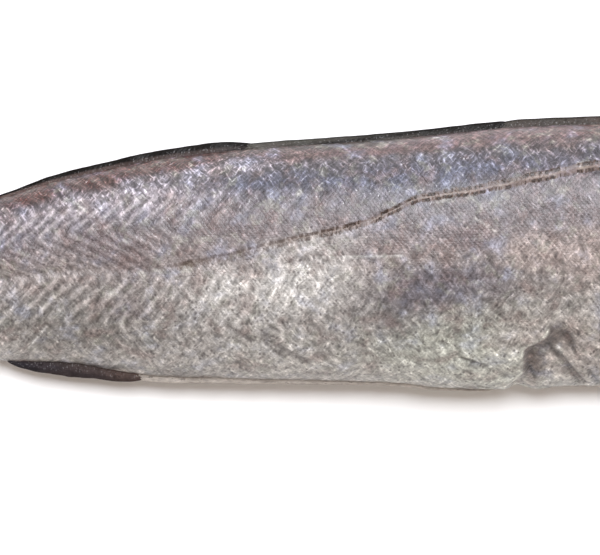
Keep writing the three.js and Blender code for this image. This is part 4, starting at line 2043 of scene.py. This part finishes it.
    def _lined(
        self, shader: Shader, colour: Signal, line: Signal, along: Signal, grain: Signal
    ) -> Signal:
        """Draws the lateral line: pale in the middle, with a row of brown dashes on either side.

        Args:
            shader: The material's tree.
            colour: The skin's colour.
            line: The distance below the line, in millimetres.
            along: The distance in front of the tail base.
            grain: Makes the line waver.

        Returns:
            The skin's colour with the line.
        """
        sway = shader.noise(shader.vector(along, 0.0, 9.0), 0.16, 2.0) - 0.5
        wander = line + sway * 2.4 + (grain - 0.5) * 1.4
        off = shader.math("ABSOLUTE", wander)
        gap = shader.between(along, *self.line_widens) * 0.5 + 0.75
        to_row = shader.math("ABSOLUTE", off - gap)
        side = shader.math("SIGN", wander) * 4.0
        dashes = shader.noise(shader.vector(along, side, 9.0), 0.55, 2.0, 0.7)
        faint, clear = shader.between(along, *self.line_faint), shader.between(along, *self.line_clear)
        fades = faint * 0.3 + clear * 0.7
        breaks = shader.noise(shader.vector(along, 0.0, 27.0), 0.17, 2.0)
        shown = shader.between(breaks, 0.32, 0.44) * fades
        halo = shader.below(off, gap, gap + 0.7) * fades
        row = shader.below(to_row, 0.35, 0.95) * shader.between(dashes, 0.42, 0.5) * shown
        core = shader.below(off, 0.1, 0.5) * shown
        blots = shader.below(to_row, 0.35, 0.9) * shader.between(dashes, 0.48, 0.54) * shown
        colour = shader.mix(halo * 0.4, colour, self.line_tan)
        colour = shader.mix(core * 0.3, colour, self.line_pale)
        colour = shader.mix(row * 0.75, colour, self.line_brown)
        return shader.mix(blots * 0.9, colour, self.line_dark)


@dataclass(frozen=True)
class FinFinish:
    """Wet fin skin over fine rays, with small painted highlights."""

    rough: float = 0.36
    wet: float = 0.03
    glint: Tone = lit(176, 174, 176)
    soot: Tone = lit(26, 23, 22)

    def material(self) -> bpy.types.Material:
        """Builds the material.

        Returns:
            The material.
        """
        shader = Shader("wet_fin")
        rays, share, along = shader.parts(shader.mark("flow", "Vector"))
        streaks = shader.noise(shader.vector(rays * 1.4, share * 1.5, 2.0), 1.0, 3.0, 0.7)
        grain = shader.noise(shader.vector(rays * 1.2, share * 3.0, along * 0.6), 1.0, 2.0)
        patches = shader.noise(shader.vector(along * 0.35, share * 1.2, 4.0), 1.0, 3.0, 0.7)
        tone = (streaks - 0.5) * 1.2 + (grain - 0.5) * 1.2 + (patches - 0.5) * 2.4
        colour = shader.scaled(shader.mark("paint", "Color"), 2.0**tone)
        fine = shader.noise(shader.vector(along * 1.5, share * 4.0, 12.0), 1.0, 2.0)
        blot = shader.between(patches, 0.57, 0.66)
        speck = shader.between(fine, 0.58, 0.68) * shader.below(share, 0.5, 0.85)
        colour = shader.mix(blot * 0.6, colour, self.soot)
        # Painted highlight: small pale glints on the fin.
        colour = shader.mix(speck * shader.between(patches, 0.35, 0.5) * 0.45, colour, self.glint)
        shader.set(
            Base_Color=colour,
            Roughness=self.rough - 0.1 + grain * 0.3,
            Coat_Weight=self.wet,
            Coat_Roughness=0.15,
            Specular_IOR_Level=0.06,
        )
        shader.bump(streaks + grain * 0.5, 0.12 * MM, 0.8)
        return shader.material


@dataclass(frozen=True)
class FleshFinish:
    """Wet cut flesh in flakes."""

    rough: float = 0.4
    wet: float = 0.35

    def material(self) -> bpy.types.Material:
        """Builds the material.

        Returns:
            The material.
        """
        shader = Shader("cut_flesh")
        flakes, y, z = shader.parts(shader.mark("flow", "Vector"))
        fibres = shader.noise(shader.vector(flakes * 5.0, y * 0.5, z * 0.5), 1.0, 3.0, 0.65)
        grain = shader.noise(shader.vector(y, z), 1.3, 3.0)
        colour = shader.scaled(shader.mark("paint", "Color"), 0.72 + fibres * 0.34 + grain * 0.22)
        shader.set(
            Base_Color=colour,
            Roughness=self.rough - 0.08 + grain * 0.2,
            Coat_Weight=self.wet,
            Coat_Roughness=0.15,
            Subsurface_Weight=0.25,
            Subsurface_Radius=(0.004, 0.002, 0.0015),
            Subsurface_Scale=1.0,
        )
        shader.bump(fibres + grain * 0.6, 0.2 * MM, 0.8)
        return shader.material


@dataclass(frozen=True)
class LiningFinish:
    """The thin wet skin inside the belly, with dark specks."""

    rough: float = 0.3
    wet: float = 0.5
    speck: Tone = lit(58, 50, 50)

    def material(self) -> bpy.types.Material:
        """Builds the material.

        Returns:
            The material.
        """
        shader = Shader("belly_lining")
        ribs, girth, along = shader.parts(shader.mark("flow", "Vector"))
        place = shader.vector(along, girth)
        grain = shader.noise(place, 0.8, 3.0)
        veins = shader.noise(shader.vector(ribs * 2.0, girth * 0.15), 1.0, 3.0, 0.6)
        speck = shader.cells(place, 0.85)
        where = shader.noise(place, 0.12, 2.0)
        colour = shader.scaled(shader.mark("paint", "Color"), 0.7 + grain * 0.3 + veins * 0.3)
        dots = shader.below(speck, 0.1, 0.24) * shader.between(where, 0.42, 0.6)
        colour = shader.mix(dots * 0.75, colour, self.speck)
        shader.set(
            Base_Color=colour,
            Roughness=self.rough - 0.06 + grain * 0.2,
            Coat_Weight=self.wet,
            Coat_Roughness=0.1,
        )
        shader.bump(veins + grain * 0.6, 0.2 * MM, 0.8)
        return shader.material


@dataclass(frozen=True)
class BoneFinish:
    """The cut end of the backbone: pale rim, red-brown hollow."""

    rough: float = 0.42

    def material(self) -> bpy.types.Material:
        """Builds the material.

        Returns:
            The material.
        """
        shader = Shader("cut_bone")
        ring, angle, _ = shader.parts(shader.mark("flow", "Vector"))
        beat = shader.math("COSINE", angle)
        other = shader.math("SINE", angle)
        grain = shader.noise(shader.vector(beat * ring * 9.0, other * ring * 9.0), 1.0, 3.0)
        rings = shader.math("SINE", ring * 42.0)
        hollow = shader.below(ring, 0.15, 0.72)
        rim = shader.between(ring, 0.9, 0.99)
        shade = shader.math("MAXIMUM", hollow * 0.75, rim * 0.5) + grain * 0.35 - 0.15
        colour = shader.mix(shade, Tissue.BONE.value, Tissue.MARROW.value)
        shader.set(Base_Color=colour, Roughness=self.rough, Coat_Weight=0.3, Coat_Roughness=0.15)
        shader.bump(rings * 0.5 + grain, 0.15 * MM, 0.8)
        return shader.material


# ---- The studio ----


@dataclass(frozen=True)
class Lamp:
    """A soft square lamp that faces the fish, in metres and watts."""

    name: str
    place: tuple[float, float, float]
    size: float
    power: float
    tint: Tone

    def hang(self) -> None:
        """Hangs the lamp, out of the camera's sight."""
        lamp = bpy.data.lights.new(self.name, "AREA")
        lamp.color = self.tint
        lamp.size = self.size
        lamp.energy = self.power
        hung = bpy.data.objects.new(self.name, lamp)
        hung.location = self.place
        hung.rotation_euler = (-Vector(self.place)).to_track_quat("-Z", "Y").to_euler()
        hung.visible_camera = False
        bpy.context.scene.collection.objects.link(hung)


@dataclass(frozen=True)
class Studio:
    """The pale floor, the soft lights, and the camera over the fish."""

    picture_width: float = 600.0
    millimetres_each_pixel: float = 0.36
    middle_s: float = 215.0
    middle_y: float = -10.4
    plane_height: float = 26.0
    camera_distance: float = 1.6
    sensor: float = 36.0
    floor_size: float = 24.0
    floor: Tone = (0.92, 0.92, 0.92)
    floor_rough: float = 0.7
    floor_gap: float = 0.4
    sky: Tone = (1.0, 0.86, 0.76)
    sky_light: float = 0.54
    lamps: tuple[Lamp, ...] = (
        Lamp("key", (0.1, 0.55, 1.5), 0.8, 32.0, (0.97, 1.0, 1.05)),
        Lamp("window", (-0.4, 1.7, 0.8), 0.9, 9.0, (0.96, 0.99, 1.05)),
    )

    def build(self) -> None:
        """Sets up the floor, the lights and the camera."""
        self._floor()
        self._sky()
        for lamp in self.lamps:
            lamp.hang()
        self._camera()

    def _floor(self) -> None:
        """Lays the pale floor."""
        half = self.floor_size / 2
        mesh = bpy.data.meshes.new("floor")
        corners = [(-half, -half, 0), (half, -half, 0), (half, half, 0), (-half, half, 0)]
        mesh.from_pydata(corners, [], [(0, 1, 2, 3)])
        floor = bpy.data.objects.new("floor", mesh)
        bpy.context.scene.collection.objects.link(floor)
        floor.location.z = -self.floor_gap * MM
        shader = Shader("pale_floor")
        shader.set(Base_Color=self.floor, Roughness=self.floor_rough)
        mesh.materials.append(shader.material)

    def _sky(self) -> None:
        """Gives the studio its even pale light."""
        world = bpy.data.worlds.new("studio")
        world.use_nodes = True
        light = world.node_tree.nodes["Background"].inputs
        light["Color"].default_value = (*self.sky, 1.0)
        light["Strength"].default_value = self.sky_light
        bpy.context.scene.world = world

    def _camera(self) -> None:
        """Hangs the camera straight over the part of the fish that the picture shows."""
        camera = bpy.data.cameras.new("camera")
        shown = self.picture_width * self.millimetres_each_pixel * MM
        camera.sensor_width = self.sensor
        camera.lens = self.sensor * self.camera_distance / shown
        middle = FORM.to_frame(np.array([self.middle_s, self.middle_y, self.plane_height]))
        hung = bpy.data.objects.new("camera", camera)
        hung.location = Vector(middle) + Vector((0, 0, self.camera_distance))
        camera.clip_end = 100.0
        bpy.context.scene.collection.objects.link(hung)
        bpy.context.scene.camera = hung


def attach(piece: bpy.types.Object, material: bpy.types.Material) -> None:
    """Gives a piece its finish and its place in the frame.

    Args:
        piece: The piece.
        material: The piece's material.
    """
    piece.data.materials.append(material)
    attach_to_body(piece, BODY)
    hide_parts(NODE)
    log.info("%s: %d faces", piece.name, len(piece.data.polygons))


def main() -> None:
    """Builds the fish and its studio."""
    logging.basicConfig(level=logging.INFO, format="%(name)s: %(message)s")
    skin = SkinFinish().material()
    lengths = ("right_flank_nape", "right_flank_middle", "right_flank_tail")
    right = FlankSkin(Flank.RIGHT, lengths, rows=800, columns=250, seed=11)
    left = FlankSkin(Flank.LEFT, ("left_flank_nape", "left_flank_tail"), rows=560, columns=150, seed=23)
    for length in right.build() + left.build():
        attach(length, skin)
    attach(NapeCut().build(), FleshFinish().material())
    attach(EmptyBelly().build(), LiningFinish().material())
    attach(Backbone().build(), BoneFinish().material())
    fin = FinFinish().material()
    for folded in FOLDED_FINS:
        attach(folded.build(), fin)
    attach(TailFin().build(), fin)
    Studio().build()
    bpy.context.scene.view_settings.view_transform = "Standard"


if __name__ == "__main__":
    main()
